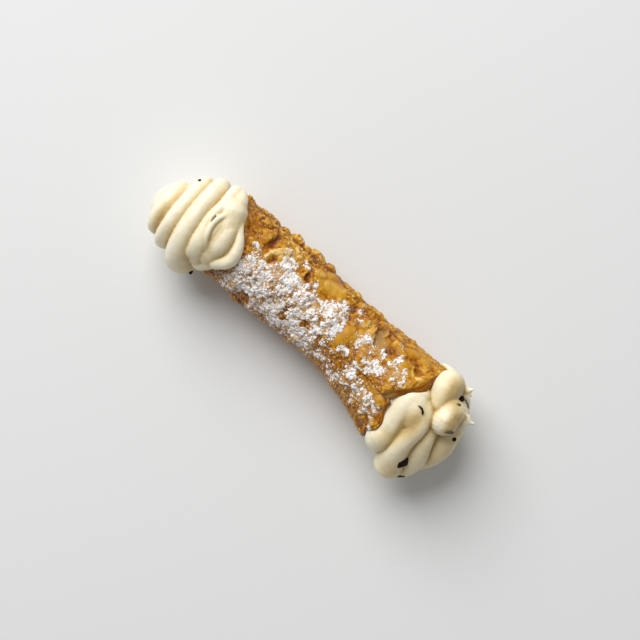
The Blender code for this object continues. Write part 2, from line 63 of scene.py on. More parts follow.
# Tube, as in the solids
WAIST_X = 12.8
WAIST_HALF_WIDTH = 17.4
WAIST_HALF_HEIGHT = 16.8
WAIST_Y = 6.7
RIGHT_SPAN = 48.4
RIGHT_FLARE_WIDTH = 7.4
RIGHT_FLARE_HEIGHT = 4.2
RIGHT_DRIFT = 5.4
LEFT_SPAN = 61.6
LEFT_FLARE = 1.2
LEFT_DRIFT = 1.4
WALL = 2.0
FLAT_DEPTH = 0.5
SEAM_ANGLE = math.radians(-23)
SEAM_DRIFT = math.radians(20)
SEAM_WAVER = math.radians(1.6)
LAP = 1.5
LAP_FAR = 0.6
LAP_RISE = (5.0, 40.0)
LAP_END = math.radians(62)
LAP_SLIT = math.radians(1.2)
RIGHT_MOUTH_X = 55.6
RIGHT_MOUTH_SLANT = 4.0
RIGHT_MOUTH_TURN = math.radians(75)
RIGHT_NOTCH = 12.2
RIGHT_NOTCH_UNDER = 7.2
RIGHT_NOTCH_WIDTH = math.radians(28)
RIGHT_UNDER_WIDTH = math.radians(24)
RIGHT_BAYS = (
    # shallow bays of the rim: depth, turn and half width in degrees
    (2, 52, 20), (2.4, 305, 18),
)
LEFT_MOUTH_X = -53.7
LEFT_MOUTH_SLANT = 2.4
LEFT_MOUTH_TURN = math.radians(105)
LEFT_NOTCH = 9.0
LEFT_NOTCH_WIDTH = math.radians(36)
RIM_ROUNDING = 0.6
UNDER_LEDGE = (0.4, 2.7)

# Blisters, as in the solids: x, angle in degrees, length, width, turn in degrees, height
NAMED_BLISTERS = (
    (-15.4, 84, 11.5, 9, 0, 2.9), (-20.5, 80, 6, 7, 0, 1.5), (-7.6, 84, 6.6, 8, 0, 2.2),
    (-26.4, 84, 8.4, 8, 0, 3), (-30, -86, 8, 7, 0, 1.6), (-38.6, 84, 5, 6, 0, 0.8),
    (-27.5, 32, 12.5, 4.6, 48, 1.5), (-36, 40, 9, 5, 60, 1.1), (17, 2, 8, 12, -10, 1),
    (1, 50, 13, 10, 0, 1.1), (26, 30, 8, 9, 0, 0.9), (43, 52, 10, 7, 35, 1),
    (29.5, 41, 6.8, 5.6, 20, -1.3), (50.4, 37, 5.4, 4.4, 40, -1.1), (-12.4, 30, 2.8, 5.4, 0, -1.3),
    (12.5, 24, 3.4, 4, 0, -0.9),
)
BLISTER_SPAN = (-56.0, 58.0)
BLISTER_SEED = 7
BLISTER_COUNT = 420
BLISTER_RADIUS = (0.9, 4.2)
BLISTER_HEIGHT = 0.36
CRUST_WAVE = 0.35

# Finer crust: bubbles between and on the blisters, in layers of count, radius, height as a share of it
FINE_SEED = 11
FINE_STEP = 0.26  # the least distance between neighbouring points of the grid
FINE_LAYERS = ((1500, (1, 2.3), 0.26), (9000, (0.42, 1), 0.52))

# Swirl of cream at the -X end, as in the solids: turn from the top towards +Y, x, middle y, winding
# radius, rope radius
SWIRL = (
    (-1.10, -56.6, 1.1, 15.2, 6), (-0.50, -57, 1.1, 15.6, 6.8), (-0.25, -58.4, 0.7, 15.9, 7.9),
    (0.00, -65, 1.3, 16.6, 5), (0.25, -66.3, 1.9, 17.2, 4.8), (0.50, -68.2, 0.9, 15.8, 4.6),
    (0.75, -70, 0, 14.2, 4.4), (1.00, -71.6, 0, 14.2, 4.3), (1.25, -72.1, 0.8, 14.4, 4.6),
    (1.50, -74.8, -1, 11.5, 5), (1.75, -76.2, -1.9, 8.8, 5.4), (2.00, -77.8, -1.3, 8.3, 5.4),
    (2.35, -79, -1.5, 6.4, 4.8),
)
SWIRL_Z = 20.2
SWIRL_SQUASH = 0.93
SWIRL_BLEND = 0.07
SWIRL_LEAN = 0.1  # how far the coils' crests lean towards -X, as a share of the rope's radius
SWIRL_PROUD = 0.3  # how much further out their crests stand than a round rope's, as a share of it
SWIRL_BODY = (
    # what the rope is wound round: x, middle y, radius
    (-85.8, -0.6, 2.8), (-84.8, -0.7, 5.7), (-82.6, -0.8, 8.5), (-79, -1.4, 11.7), (-76, -1, 13.2),
    (-72.8, 0.9, 15.7), (-69.5, 2, 17.9), (-66, 2.1, 19.2), (-60, 1.6, 19.8),
)
SWIRL_HEART = ((-46, 4, 19, 13), (-60, 1.5, 19.5, 17), (-68, 0.5, 19.5, 13))

# Strands over the -X mouth, as in the solids: x, y, lift over the bed that they lie on, radius
FOLDS = {
    "fold_bed": ((-55, 13, -4.6, 7.6), (-51.6, 4, -5.4, 8.8), (-51.8, -3.6, -5, 7.8)),
    "left_lobe": (
        (-59.4, 21.2, -2, 3.5), (-59, 13.6, -1.4, 2.8), (-59.5, 8, -1.3, 2.5), (-59, 2.6, -1.6, 3.2),
        (-57.4, -2, -1.9, 4.8), (-56.4, -6.4, -2.2, 5.3), (-54.2, -9.6, -3, 4.6),
    ),
    "thin_fold": (
        (-50.8, 15, 0.8, 1.3), (-54.2, 12.4, 0.9, 1.3), (-56.7, 8.6, 1.1, 1.4), (-57, 3.6, 1.4, 1.4),
        (-55.6, -0.8, 1.9, 1.3), (-52.8, -5.2, 2, 1.3), (-49.6, -8.8, 0.9, 1.4),
    ),
    "fold_fill": (
        (-53.6, 11.5, 0.2, 1.6), (-54.6, 7.5, 0.5, 1.7), (-54.4, 3, 0.7, 1.7), (-53, -1, 0.7, 1.6),
        (-50.6, -5, 0.4, 1.5),
    ),
    "oval_dome": (
        (-51.2, 11.2, -1, 3.2), (-50.2, 6, -0.8, 4.5), (-49.3, 0.6, -0.9, 4.8), (-49.2, -4.2, -1.6, 4),
    ),
    "rim_strand": (
        (-51, 15.6, -0.1, 1.3), (-47.3, 10.7, -0.1, 1.8), (-43.6, 5.9, -0.3, 2.5),
        (-41.8, 1.1, -0.5, 3.1), (-42.3, -3.1, -0.5, 3.3), (-45.8, -6.7, -0.4, 3),
    ),
    "under_fold": ((-48.6, -8.6, -2, 3.6), (-51.4, -10.8, -2.4, 4.2)),
    "cap_fold": ((-57.2, 21.2, -2, 3.6), (-55.2, 18.4, -1.5, 3.9), (-53.8, 14.8, -1.6, 3.2)),
}
BED_STEP_X = -54.0  # where the bed steps from the tube's wall out to the wound cream
BED_OUT = 3.2

# Strands and lobes out of the +X mouth, as in the solids: x, y, z, radius
LOBES = {
    "heart": ((49, 2.5, 17.5, 12), (60, 1, 19.5, 15.5), (67, 0, 19, 13)),
    "upper_lobe": (
        (66, 22.4, 19, 5.6), (64.9, 21.6, 26.6, 6.7), (64.5, 19.2, 32, 6.7), (66, 12.6, 32, 5.8),
    ),
    "round_lobe": ((72.4, 13.7, 34, 5.8), (72.8, 8.2, 34.6, 6.2)),
    "left_strand": (
        (57.8, 8.4, 33.2, 6), (56.3, 3.8, 33.8, 6.5), (56.6, -3.9, 32.2, 6.4), (57.8, -10.8, 29.8, 6.3),
        (57.3, -15.4, 27.8, 6.3), (58.4, -16.8, 19.5, 5.8),
    ),
    "middle_strand": (
        (60, 8, 33.6, 4.6), (64, 4.8, 35.2, 4.5), (66, -1.7, 35, 4.4), (65.9, -8.7, 33, 4.5),
        (66.4, -15.3, 27.8, 5.8), (68.4, -21, 21, 7.1),
    ),
    "merged_top": ((58.6, 6.8, 34, 5.8), (60.6, 3.4, 34.8, 5.8), (62.2, -0.2, 34.2, 5.4)),
    "valley": (
        (60.8, 2, 33, 5), (61.6, -4, 31.4, 4.4), (61.8, -11, 29.6, 4), (62, -15, 26.6, 4.2),
        (62, -16.6, 20, 4.4),
    ),
    "right_strand": (
        (70.4, 2, 31, 3.8), (72.7, -5.5, 29.5, 4.6), (75, -12.1, 24.5, 5.1), (74.2, -17.2, 18, 5.6),
    ),
    "end_lobe": (
        (78.4, 6.8, 24, 5.4), (79.6, -0.2, 22.5, 6), (78.8, -6.2, 20, 6), (76.8, -11.4, 15.5, 5.6),
    ),
    "back_lobe": ((73.6, 19.8, 19.5, 4.4), (76.4, 14.2, 23, 5), (78.4, 8, 23.5, 5.4)),
    "collar": (
        (54, -10.6, 27.8, 4.9), (54, -2, 32, 4.9), (54.6, 8.2, 31.9, 5), (55.4, 15.4, 27.8, 5.1),
        (55.8, 18.8, 21.9, 5.1), (55.6, 18.6, 16, 5),
    ),
    "low_left": ((57.5, -9, 10, 8.8), (68, -8.5, 10, 9.4)),
    "low_right": ((57.5, 9.5, 10.5, 9), (70, 9, 10.5, 9.6)),
    "low_end": ((70, 0, 11.5, 9), (75.4, 1, 12, 8.4)),
    "top_smear": ((57.6, 26.6, 21.5, 0.8), (60.4, 26.8, 22.5, 1.3), (63.4, 26, 24.4, 2.2)),
    "upper_wisp": (
        (68.6, 22.4, 25.4, 2.8), (70.8, 24.2, 27, 1.9), (72.4, 25.4, 28, 1.3), (73.4, 26.8, 28.8, 0.7),
    ),
    "wisp_branch": ((71.2, 23.4, 26.6, 1.7), (73.2, 24.4, 27.4, 1.1), (74.6, 24.2, 27.6, 0.7)),
    "end_wisp": (
        (80, 6.6, 25, 2.6), (80.4, 11.4, 27.8, 1.9), (80.8, 15, 29.6, 1.3), (79.8, 16.6, 30, 1.1),
        (78.2, 16.4, 29, 0.9),
    ),
    "end_branch": ((80.6, 13.8, 29, 1.3), (82.2, 15.4, 30, 1), (83.4, 16, 30.2, 0.7)),
}
CORE_START_X = -50.0
CORE_END_X = 50.5
CORE_CLEARANCE = 0.5
STRAND_STEP = 1.2
ROPE_SIDES = 28
CORE_SIDES = 96  # of the swirl's body and of the cream in the tube
CORE_STEP = 1.6
CREAM_VOXEL = 0.38
CREAM_SOFTENING = 2  # rounds of smoothing after the remesh
MERGED_ROUNDS = 40
THIN_ROUNDS = 6
WIDE_ROUNDS = 150
CREAM_UNEVEN = 0.2
MERGED = (
    # where strands have run into each other: x, y, half length, half width, turn in degrees, share
    (60.6, 3.4, 5.6, 5.2, 0, 1), (62, -2, 3, 2.6, 0, 0.6), (-56.5, 18.5, 4.5, 4, 0, 0.7),
)
CREAM_SHARE = 0.54  # of its triangles that are kept, where they are needed most
CREAM_SIDE_SHADE = 0.62  # painted shade: how much yellower the cream is painted on the sides away from -X, where the key light stands
RAGGED = (
    # places where the cream is rougher: x, y, z, reach, how much
    (72.4, 10, 38, 6, 0.5), (73, 25, 27, 4, 0.5), (80.4, 14.5, 28, 5, 0.5), (66, 22, 34, 5, 0.15),
)
CREAM_SHADE_TONES = (
    # painted shade: yellower places, mostly flanks turned away from the light, seen from above: x, y, half
    # length, half width, turn in degrees, how much
    (-77.4, -9, 6, 2.8, 105, 0.9), (-78.4, 0, 9, 1.6, 95, 0.5), (75.8, 9.6, 5.6, 2.6, 95, 1),
    (72.8, 10.4, 7, 6.5, 0, 0.34), (71, 12.4, 3.2, 2.6, 0, -0.3), (69.2, 19, 6.4, 3.6, -60, 1.1),
    (64.6, 21, 8, 6.5, 0, 0.8), (63, -3.5, 8, 3.6, 90, 1.5), (79.6, 0, 8, 4.2, 95, 0.55),
    (73.6, -9, 8, 2.4, 105, 0.35), (57, -14.6, 5, 4.4, 0, 0.5), (68.4, -24, 7, 3.6, 0, 0.55),
)
INNER_CORE = (-38.0, 36.0)  # the stretch of cream deep in the tube, which is left coarse

# Chips, as in the solids: x, y, length, width, height, turn in degrees, seen from above
CHIPS = (
    (61.3, 5.4, 4.6, 1.8, 1.8, -16), (72, -16.9, 5.6, 5.2, 2.6, -64), (75.8, -22.4, 5.6, 1.6, 2, 66),
    (81.8, 5.4, 2.1, 2, 1.8, 0), (72.8, 20.6, 3.2, 2.8, 2.4, -30), (72.2, 17.7, 2.1, 1.3, 1.4, 32),
    (77, 6.2, 4.4, 1.6, 1.6, 30), (76.2, 20.6, 4.6, 1.4, 1.6, -35), (-74.8, 14.9, 1.7, 1.6, 1.6, 0),
    (-52.2, -17.2, 2.6, 1.6, 2.6, -65), (-58.4, 6.5, 4.2, 1.2, 1.6, 97),
)
CHIP_SUNK = 0.15
CHIP_DROP = 80.0
CHIP_LIFT = 0.8
CHIP_SEED = 5
CHIP_OUTLINES = {
    "crescent": (
        (-0.5, -0.22), (-0.2, 0), (0.18, 0), (0.46, -0.5), (0.54, -0.2), (0.4, 0.3), (0.05, 0.5),
        (-0.25, 0.4),
    ),
    "wedge": ((-0.5, 0.3), (-0.42, -0.3), (-0.1, -0.5), (0.5, -0.28), (0.44, -0.02), (0.06, 0.5)),
    "splinter": ((-0.5, -0.3), (-0.1, -0.5), (0.42, -0.3), (0.5, 0.2), (0.1, 0.5), (-0.4, 0.2)),
    "crumb": ((-0.5, -0.1), (-0.24, -0.46), (0.22, -0.5), (0.5, -0.08), (0.3, 0.42), (-0.2, 0.5)),
}
CHIP_LOOKS = (
    # outline, and how much of a film of cream lies over it
    ("crescent", 0), ("wedge", 0), ("splinter", 0.15), ("crumb", 0), ("crumb", 0.1), ("splinter", 0.3),
    ("splinter", 0.3), ("splinter", 0.65), ("crumb", 0.1), ("crumb", 0), ("splinter", 0.75),
)
CHIP_LEVELS = (
    # share of the height, and of the outline
    (-0.5, 0.9), (0.2, 1), (0.4, 0.88), (0.46, 0.6),
)

PASTRY_COLUMNS = 280
PASTRY_ROWS = 336
TOP_CROWDING = 0.35  # how much closer than the mean the columns lie on top
TOP_Z = 8.0  # what is painted from above stays on the points higher than this
INNER_ROWS = 8
BOX_MARGIN = 0.02

# Tones of the crust, seen from above: x, y, half length, half width, turn in degrees, tone from -1,
# dark brown, to 1, pale gold
TONES = (
    (42, 23.5, 16, 5.5, 4, 0.2), (0, 23, 22, 3.5, 0, 0.08), (-26.6, 13.9, 6.4, 2.3, 46, 0.6),
    (-27.4, 15.6, 6.4, 2.4, 45, 0.55), (-31.5, 12.4, 2.6, 2.2, 80, 0.7),
    (-28.2, 9.9, 2, 1.3, 50, -0.35), (-11.5, 15.2, 1.7, 3.2, 10, -0.5), (-15.4, 14.7, 1.2, 1, 0, -0.8),
    (-7.6, 11.7, 0.7, 1.5, 0, -0.9), (-11.9, 5.3, 1.5, 1.3, 0, -0.4), (-9.7, -1.6, 0.8, 2.8, -10, -1),
    (-8.6, -5.1, 1.6, 1.4, 0, -0.8), (4, 5.4, 2.6, 1.5, 0, 0.2), (0.4, -0.6, 2.6, 2.4, 20, -0.6),
    (-1.2, 14.3, 1.8, 0.6, 0, -0.9), (16, 6.2, 3.4, 6.2, -8, 0.15), (20.3, 9.6, 1.6, 3.6, -10, 0.9),
    # The entries of -1.6 on this line and the next, along the rim of the popped blister, are painted shadow
    # under its edge.
    (21.6, 15.4, 1.8, 4.4, 0, 0.45), (11.3, 17.8, 1.5, 2, 0, -0.75), (30.2, 21.2, 5.2, 0.8, 0, -1.6),
    (24.9, 17.4, 0.7, 3.2, 0, -1.6), (35.2, 14.8, 0.9, 3.2, 8, -1.6), (36.5, 16.5, 1.4, 2.6, 20, -0.35),
    (-15.1, 21.8, 3, 1, 0, -0.8), (-33, 17, 1.7, 4.2, 10, -1.1), (-33.9, 11.8, 1.4, 2.8, 10, -0.6),
    (46, -14.5, 8, 3.4, -40, -0.05), (-3.5, 19.5, 8, 4, 0, 0.42), (-1, 22.5, 4, 1.6, 0, -0.5),
    (-26.5, 23.5, 6, 3, 0, 0.35), (-26.5, 21, 3, 2, 0, 0.2), (-17, 23.5, 7, 3, 0, 0.15),
    (-8, 23.5, 2.6, 2.4, 0, -0.55), (41.5, -2.5, 3.6, 2.2, 20, 0.25), (44.6, -3, 4, 2.2, 15, -0.1),
    (50, 14, 3.4, 2.4, 40, 0.7), (46.5, 18.5, 3, 2.2, 0, -0.45), (53, 20.5, 4, 1.2, 0, -0.5),
    (-27.5, -9.5, 4.4, 3.2, 0, -0.7), (-38, -1, 2, 2.2, 0, -0.6), (28.5, 4.6, 2.6, 1.8, 20, -0.1),
    (22.5, 2.5, 2, 2.6, 0, -0.2), (36, -8.5, 3.4, 1.3, -60, 0.4), (25, -4, 5, 2, 0, -0.3),
    # The five entries of -0.9 from here on, along the edge of the cream at the -X mouth, are painted shade
    # where the cream meets the crust.
    (-44.5, 18, 4, 5, 0, -0.25), (-46.6, 14.6, 3.6, 0.9, -45, -0.9), (-42, 9.4, 3.6, 0.9, -52, -0.9),
    (-39.2, 3.6, 3.2, 0.8, -68, -0.9), (-39, -2.6, 3.2, 0.9, -95, -0.9),
    (-42.2, -8.6, 3.8, 1, -140, -0.9),
)
DENTS = (
    # hollows and, with a height, raised forms: x, y, half length, half width, turn, height, softness
    (-33.4, 15.2, 1.5, 5.6, 10, -0.8, 0.6), (-27.2, 15.6, 6.6, 1.5, 47, 0.3, 0.5),
    (-28.3, 9.7, 2.3, 1.5, 50, -0.6, 0.5), (-11.7, 16.2, 1.3, 3.1, 10, -0.6, 0.5),
    (-15.2, 15.8, 1.1, 0.9, 0, -0.6, 0.5), (-14.6, 18.2, 3.4, 1, -30, 0.4, 0.5),
    (-12.6, 5.6, 1.6, 1.2, 0, -0.6, 0.4), (-8, 12.1, 0.8, 1.8, 0, -0.7, 0.4),
    (-9.6, -2.2, 0.9, 3.2, -12, -0.7, 0.5), (34.6, 13.9, 0.9, 2.7, 0, -0.8, 0.5),
    (50.6, 16.9, 2.8, 1.9, -35, -0.6, 0.3), (53.6, 14.6, 1, 2.6, -30, 0.35, 0.5),
    (37.4, 8.8, 1.5, 1.3, 0, -0.4, 0.4), (11.3, 17.8, 1.4, 2, 0, -0.5, 0.5),
)
BAY = (
    # the popped blister near the +X end, as ellipses that run together: x, y, half length, half width, turn
    (27.6, 17.9, 2.7, 2.6, 0), (32, 17.4, 2.8, 3, 0), (29.6, 14.8, 2.6, 3, 10),
)
BAY_DEPTH = 1.35
BAY_TONE = 0.1
TANS = (
    # smooth tan stretches: x, y, half length, half width, turn, share
    (28.2, 16.2, 2.8, 4.2, 0, 0.9), (32, 15.6, 2.4, 3, 0, 0.6), (49.2, 2.6, 2.2, 1.6, 25, 0.8),
    (-3.5, 19.5, 6, 3, 0, 0.15), (40.5, -6.5, 8, 3, 0, 0.3),
)
SMOOTH_PATCHES = (
    # calm stretches with few bubbles: x, y, half length, half width, turn
    (43, 21, 12, 2.8, 4), (16.2, 6.2, 3, 6, -8), (20.8, 11, 2, 4, 0), (28.6, 17, 3.6, 4.2, 0),
    (31, 16.4, 2.6, 3.4, 0), (50.6, 16.9, 2.6, 1.9, -35), (44, -3.4, 4.4, 2.4, 15),
    (-3, 19.6, 7, 3.4, 0),
)

# Sugar, seen from above. The dense field's far edge as x and y, then patches: x, y, half length, half
# width, turn in degrees, share of the crust that they cover
FIELD_EDGE = (
    (-40, 0), (-38.6, 4.5), (-36, 7.6), (-32.5, 9), (-29.5, 8), (-25.5, 10.6), (-23.8, 17.6),
    (-19.8, 17), (-17.6, 13.4), (-14, 12.6), (-12, 10.6), (-9.6, 13.2), (-7.2, 16.8), (-5, 12.6),
    (-2, 12.2), (2.6, 14), (6, 17.6), (10, 17.4), (13.4, 13.5), (14.2, 2.2),
)
FIELD_COVER = 0.86
PATCHES = (
    (-37.6, 10.4, 2.2, 1.6, 30, 0.8), (-34, 9.8, 3, 1.2, 10, 0.7), (9.6, 10, 3.2, 8, -8, 0.62),
    (24.1, 10.4, 2, 4.2, -8, 1), (29.6, 7.8, 1.4, 3.4, 0, 0.7), (33.9, 8.4, 1.4, 3.2, 0, 0.75),
    (31.6, 5, 3, 1.2, 20, 0.7), (31.5, 11.8, 3.6, 1.2, 0, 0.6), (36, 4.8, 5, 2, 42, 0.95),
    (40.8, 13, 2, 3.8, -10, 0.95), (38.5, 10.5, 1.4, 1.2, 0, 0.6), (44.9, 9, 3.2, 3.2, 20, 0.7),
    (46.6, 12.4, 1.2, 1.6, 0, 0.8), (20.3, 2.2, 2.8, 1.8, 0, 0.75), (28, -1.8, 2.2, 3.2, 0, 0.85),
    (33.6, -3.9, 5.4, 2, -20, 0.6), (38.4, -6.4, 1.8, 2, 0, 0.85), (42.3, -6.6, 2.4, 2, 0, 0.75),
    (45.4, -9.6, 4.4, 1.6, 45, 0.9), (49.4, -12.6, 3.4, 1.1, -45, 0.85), (41.3, 0.2, 1.4, 1, 0, 0.6),
    (10.9, -1.7, 1.3, 1.3, 0, 0.8), (15.4, -1.2, 3, 1, 10, 0.55), (14.8, -6.2, 3.8, 1.5, 0, 0.7),
    (26, -5.6, 1.6, 1.4, 0, 0.6), (28.4, -8.2, 3.6, 1.4, 10, 0.65), (24.2, -10, 2.6, 1.3, 0, 0.7),
    (34.8, -7, 1.6, 1, 0, 0.5), (37.6, -12.4, 1.4, 1.4, 0, 0.5), (14.4, 19.4, 1.2, 2, 0, 0.55),
    (17, 16.4, 1.8, 3, 0, 0.35), (28, 12.6, 3.2, 1.4, 0, 0.5), (37.6, 19.4, 1.6, 1.6, 0, 0.35),
    (-15, 23.4, 3.6, 1.6, 0, 0.3), (-15.4, 18.4, 3, 1.4, -20, 0.45), (-25, 17.4, 3.4, 1.2, 47, 0.4),
    (-44.6, 8.6, 1.6, 3.4, 0, 0.35), (-34.5, -10, 12, 4, 0, 0.5), (32, 0, 22, 13, 0, 0.13),
    (24, 14, 10, 6, 0, 0.1), (8, -9, 40, 4, 0, 0.2), (-30, 18, 16, 8, 0, 0.05),
)
BARE_PATCHES = (
    # places without sugar: x, y, half length, half width, turn
    (8.2, 13.6, 0.7, 0.6, 0), (11.4, 9.6, 0.6, 0.8, 0), (9.4, 5.6, 0.9, 0.5, 20),
    (12.6, 5, 0.6, 0.6, 0), (7.4, 9.4, 0.6, 0.9, 0), (10.4, 13, 0.5, 0.5, 0),
    (-28.2, 9.9, 2.3, 1.5, 50), (-11.5, 15.2, 1.6, 3.2, 10), (-15.4, 14.7, 1.4, 1.1, 0),
    (-7.6, 11.7, 0.8, 1.5, 0), (-11.9, 5, 1.4, 1, 0), (-14, 3.4, 0.8, 1.2, 0),
    (-9.7, -1.6, 0.7, 2.8, -10), (-8.6, -5.1, 1.5, 1.4, 0), (3.8, 5.4, 2.6, 1.4, 0),
    (0.2, -0.8, 2.8, 2.4, 20), (-31, -0.4, 1.1, 1.2, 0), (-27.4, -10, 3.2, 2.6, 0),
    (16.2, 6, 2.6, 5.4, -8), (31.6, 8.4, 1.5, 1.6, 0), (-1, 9.6, 1.4, 0.8, 0), (-19.5, -5, 1.2, 1.6, 0),
    (28.9, 17, 3.8, 3.8, 0), (50.6, 16.9, 3, 2.2, -35), (-33.4, 15.2, 1.8, 5, 10),
)
SUGAR_SEED = 23
SUGAR_STEP = 0.16
SUGAR_RADIUS = 18.5  # the tube's radius, as the sugar's grid takes it
SUGAR_SIDES = (-1.75, 1.85)  # the angles that the grid runs between
SUGAR_SPREAD = 1.4
SUGAR_THRESHOLD = 0.62
SUGAR_SUNK = 0.12
CLUMP_COUNT = 56000
CLUMP_RADIUS = (0.18, 0.66)
CLUMP_HEIGHT = (0.12, 0.5)
GRAIN_SEED = 31
GRAIN_COUNT = 4000
GRAIN_RADIUS = (0.09, 0.27)

# Past the rim: tones of the inner face, of the rim's edge and, outwards from it, of the lower dough. The
# inner face and the lower dough are darker as painted shade; the rim's edge is paler, partly the cut
# dough's colour and partly painted highlight.
INSIDE_SHADE_TONE = -0.55
RIM_TONE = 0.5
LEDGE_SHADE_TONES = (-0.24, -0.56, -0.8, -0.96)
LEDGE_STEPS = (
    # rings out to the lower dough's end: share of the way, and how far the relief has died away
    (0.06, 0.08), (0.18, 0.4), (0.36, 0.8), (0.62, 0.97), (1, 1),
)
LEDGE_SINK = 0.3
LAP_CORNER = 0.14  # the reach, in turn, of the lap's paler and tan corner
CORNER_TONE = 1.5
CORNER_TAN = 0.9
HIDDEN_ROUGH = 0.35
SUGAR_SHADOW_TONE = 0.25  # painted shadow of the sugar: how much darker the crust is painted where sugar lies on it
RIDGE = (-27.2, 15.6, 7.5, 3, 47, 0.5)  # a rough ridge: x, y, half length, half width, turn, softness

# Camera and light
PHOTO_PIXELS = 640
PIXEL = 0.44  # what one of them spans at the height AIM_Z
AIM_X = 4.1
AIM_Y = 4.9
AIM_Z = 17.0
CAMERA_RISE = 700.0
CAMERA_TURN = math.radians(42)
SENSOR = 36.0
FLOOR_SIDE = 3.0
KEY_RISE = math.radians(44)
KEY_TURN = math.radians(110)  # in the picture, from its right side
KEY_AWAY = 2.4
KEY_SIDE = 2.1
KEY_POWER = 64.0
KEY_COLOUR = (1.0, 0.985, 0.96)
SKY_STRENGTH = 0.26
SKY_COLOUR = (1.0, 0.99, 0.97, 1.0)


def smooth(t):
    t = np.clip(t, 0.0, 1.0)
    return t * t * (3.0 - 2.0 * t)


def to_right(x):
    return np.clip((x - WAIST_X) / RIGHT_SPAN, 0.0, None)


def to_left(x):
    return np.clip((WAIST_X - x) / LEFT_SPAN, 0.0, None)


def half_width(x):
    return WAIST_HALF_WIDTH + RIGHT_FLARE_WIDTH * to_right(x) ** 1.45 + LEFT_FLARE * to_left(x) ** 1.5


def half_height(x):
    return WAIST_HALF_HEIGHT + RIGHT_FLARE_HEIGHT * to_right(x) ** 1.55 + LEFT_FLARE * to_left(x) ** 1.5


def centre_y(x):
    return WAIST_Y - RIGHT_DRIFT * to_right(x) ** 1.25 - LEFT_DRIFT * to_left(x) ** 1.3


def centre_z(x):
    return half_height(x) - FLAT_DEPTH


def on_tube(x, angle, out):
    """Points at an angle from the top towards +Y, moved out from the tube's nominal surface."""
    y = centre_y(x) + (half_width(x) + out) * np.sin(angle)
    z = centre_z(x) + (half_height(x) + out) * np.cos(angle)
    return np.stack([x + 0.0 * angle, y, z], axis=-1)


def seam_at(x):
    return SEAM_ANGLE + SEAM_DRIFT * to_right(x) + SEAM_WAVER * np.sin(0.21 * x + 0.6)


def right_rim(turn):
    back = 2.0 * math.pi - turn
    slanted = RIGHT_MOUTH_X + RIGHT_MOUTH_SLANT * np.cos(turn - RIGHT_MOUTH_TURN)
    upper = RIGHT_NOTCH * np.exp(-((turn / RIGHT_NOTCH_WIDTH) ** 2))
    under = RIGHT_NOTCH_UNDER * np.exp(-((back / RIGHT_UNDER_WIDTH) ** 2))
    bays = sum(
        depth * np.exp(-(((turn - math.radians(at)) / math.radians(wide)) ** 2))
        for depth, at, wide in RIGHT_BAYS
    )
    ragged = 0.35 * np.sin(7.0 * turn) + 0.25 * np.sin(12.0 * turn + 1.0)
    return slanted - upper - under - bays + ragged


def left_rim(turn):
    back = 2.0 * math.pi - turn
    slanted = LEFT_MOUTH_X - LEFT_MOUTH_SLANT * np.cos(turn - LEFT_MOUTH_TURN)
    upper = np.exp(-((turn / LEFT_NOTCH_WIDTH) ** 2))
    under = np.exp(-((back / LEFT_NOTCH_WIDTH) ** 2))
    return slanted + LEFT_NOTCH * (upper + under) + 0.35 * np.sin(6.0 * turn + 2.0)


def lap_share(turn):
    return 1.0 - smooth((turn - 0.45 * LAP_END) / (0.55 * LAP_END))


def lap_height(x, turn):
    low, high = LAP_RISE
    return (LAP_FAR + (LAP - LAP_FAR) * smooth((x - low) / (high - low))) * lap_share(turn)


NOISE_CELLS = 64
NOISE_TURN = np.array([[0.74, 0.52, -0.43], [-0.37, 0.84, 0.39], [0.56, -0.13, 0.81]])


def lumps(points, size, seed):
    """Smooth random values from -1 to 1 at points, in lumps about as large as size."""
    table = np.random.default_rng(seed).uniform(-1.0, 1.0, (NOISE_CELLS,) * 3)
    scaled = points @ NOISE_TURN / size
    cell = np.floor(scaled).astype(int)
    share = scaled - cell
    share = share * share * (3.0 - 2.0 * share)
    found = 0.0
    for corner in range(8):
        step = np.array([corner & 1, corner >> 1 & 1, corner >> 2 & 1])
        weight = np.prod(np.where(step, share, 1.0 - share), axis=-1)
        i, j, k = np.moveaxis((cell + step) % NOISE_CELLS, -1, 0)
        found = found + weight * table[i, j, k]
    return found


def fractal(points, sizes, seed, decay=0.62):
    """Lumps of several sizes added up, each counting for less than the one before."""
    total = 0.0
    weight = 1.0
    whole = 0.0
    for number, size in enumerate(sizes):
        total = total + weight * lumps(points, size, seed + number)
        whole += weight
        weight *= decay
    return total / whole


def named_and_random_blisters():
    """The blisters of the solids: x, angle, half length, half width, turn, height."""
    found = [
        (x, math.radians(angle), length / 2, width / 2, math.radians(turn), height)
        for x, angle, length, width, turn, height in NAMED_BLISTERS
    ]
    draw = np.random.default_rng(BLISTER_SEED)
    small, large = BLISTER_RADIUS
    for _ in range(BLISTER_COUNT):
        x = draw.uniform(*BLISTER_SPAN)
        angle = draw.uniform(-math.pi, math.pi)
        radius = small + (large - small) * draw.random() ** 2.2
        stretch = draw.uniform(0.75, 1.35)
        turn = draw.uniform(0.0, math.pi)
        height = BLISTER_HEIGHT * radius * draw.uniform(0.5, 1.0)
        found.append((x, angle, radius * stretch, radius / stretch, turn, height))
    return found


def dome(x, angle, blister):
    """Height of one blister at places on the tube, with its sign."""
    at_x, at_angle, along, across, turn, height = blister
    off = (angle - at_angle + math.pi) % (2.0 * math.pi) - math.pi
    u = x - at_x
    v = off * half_width(x)
    c, s = math.cos(turn), math.sin(turn)
    d2 = ((u * c + v * s) / along) ** 2 + ((v * c - u * s) / across) ** 2
    return height * np.clip(1.0 - d2, 0.0, None) ** 0.75


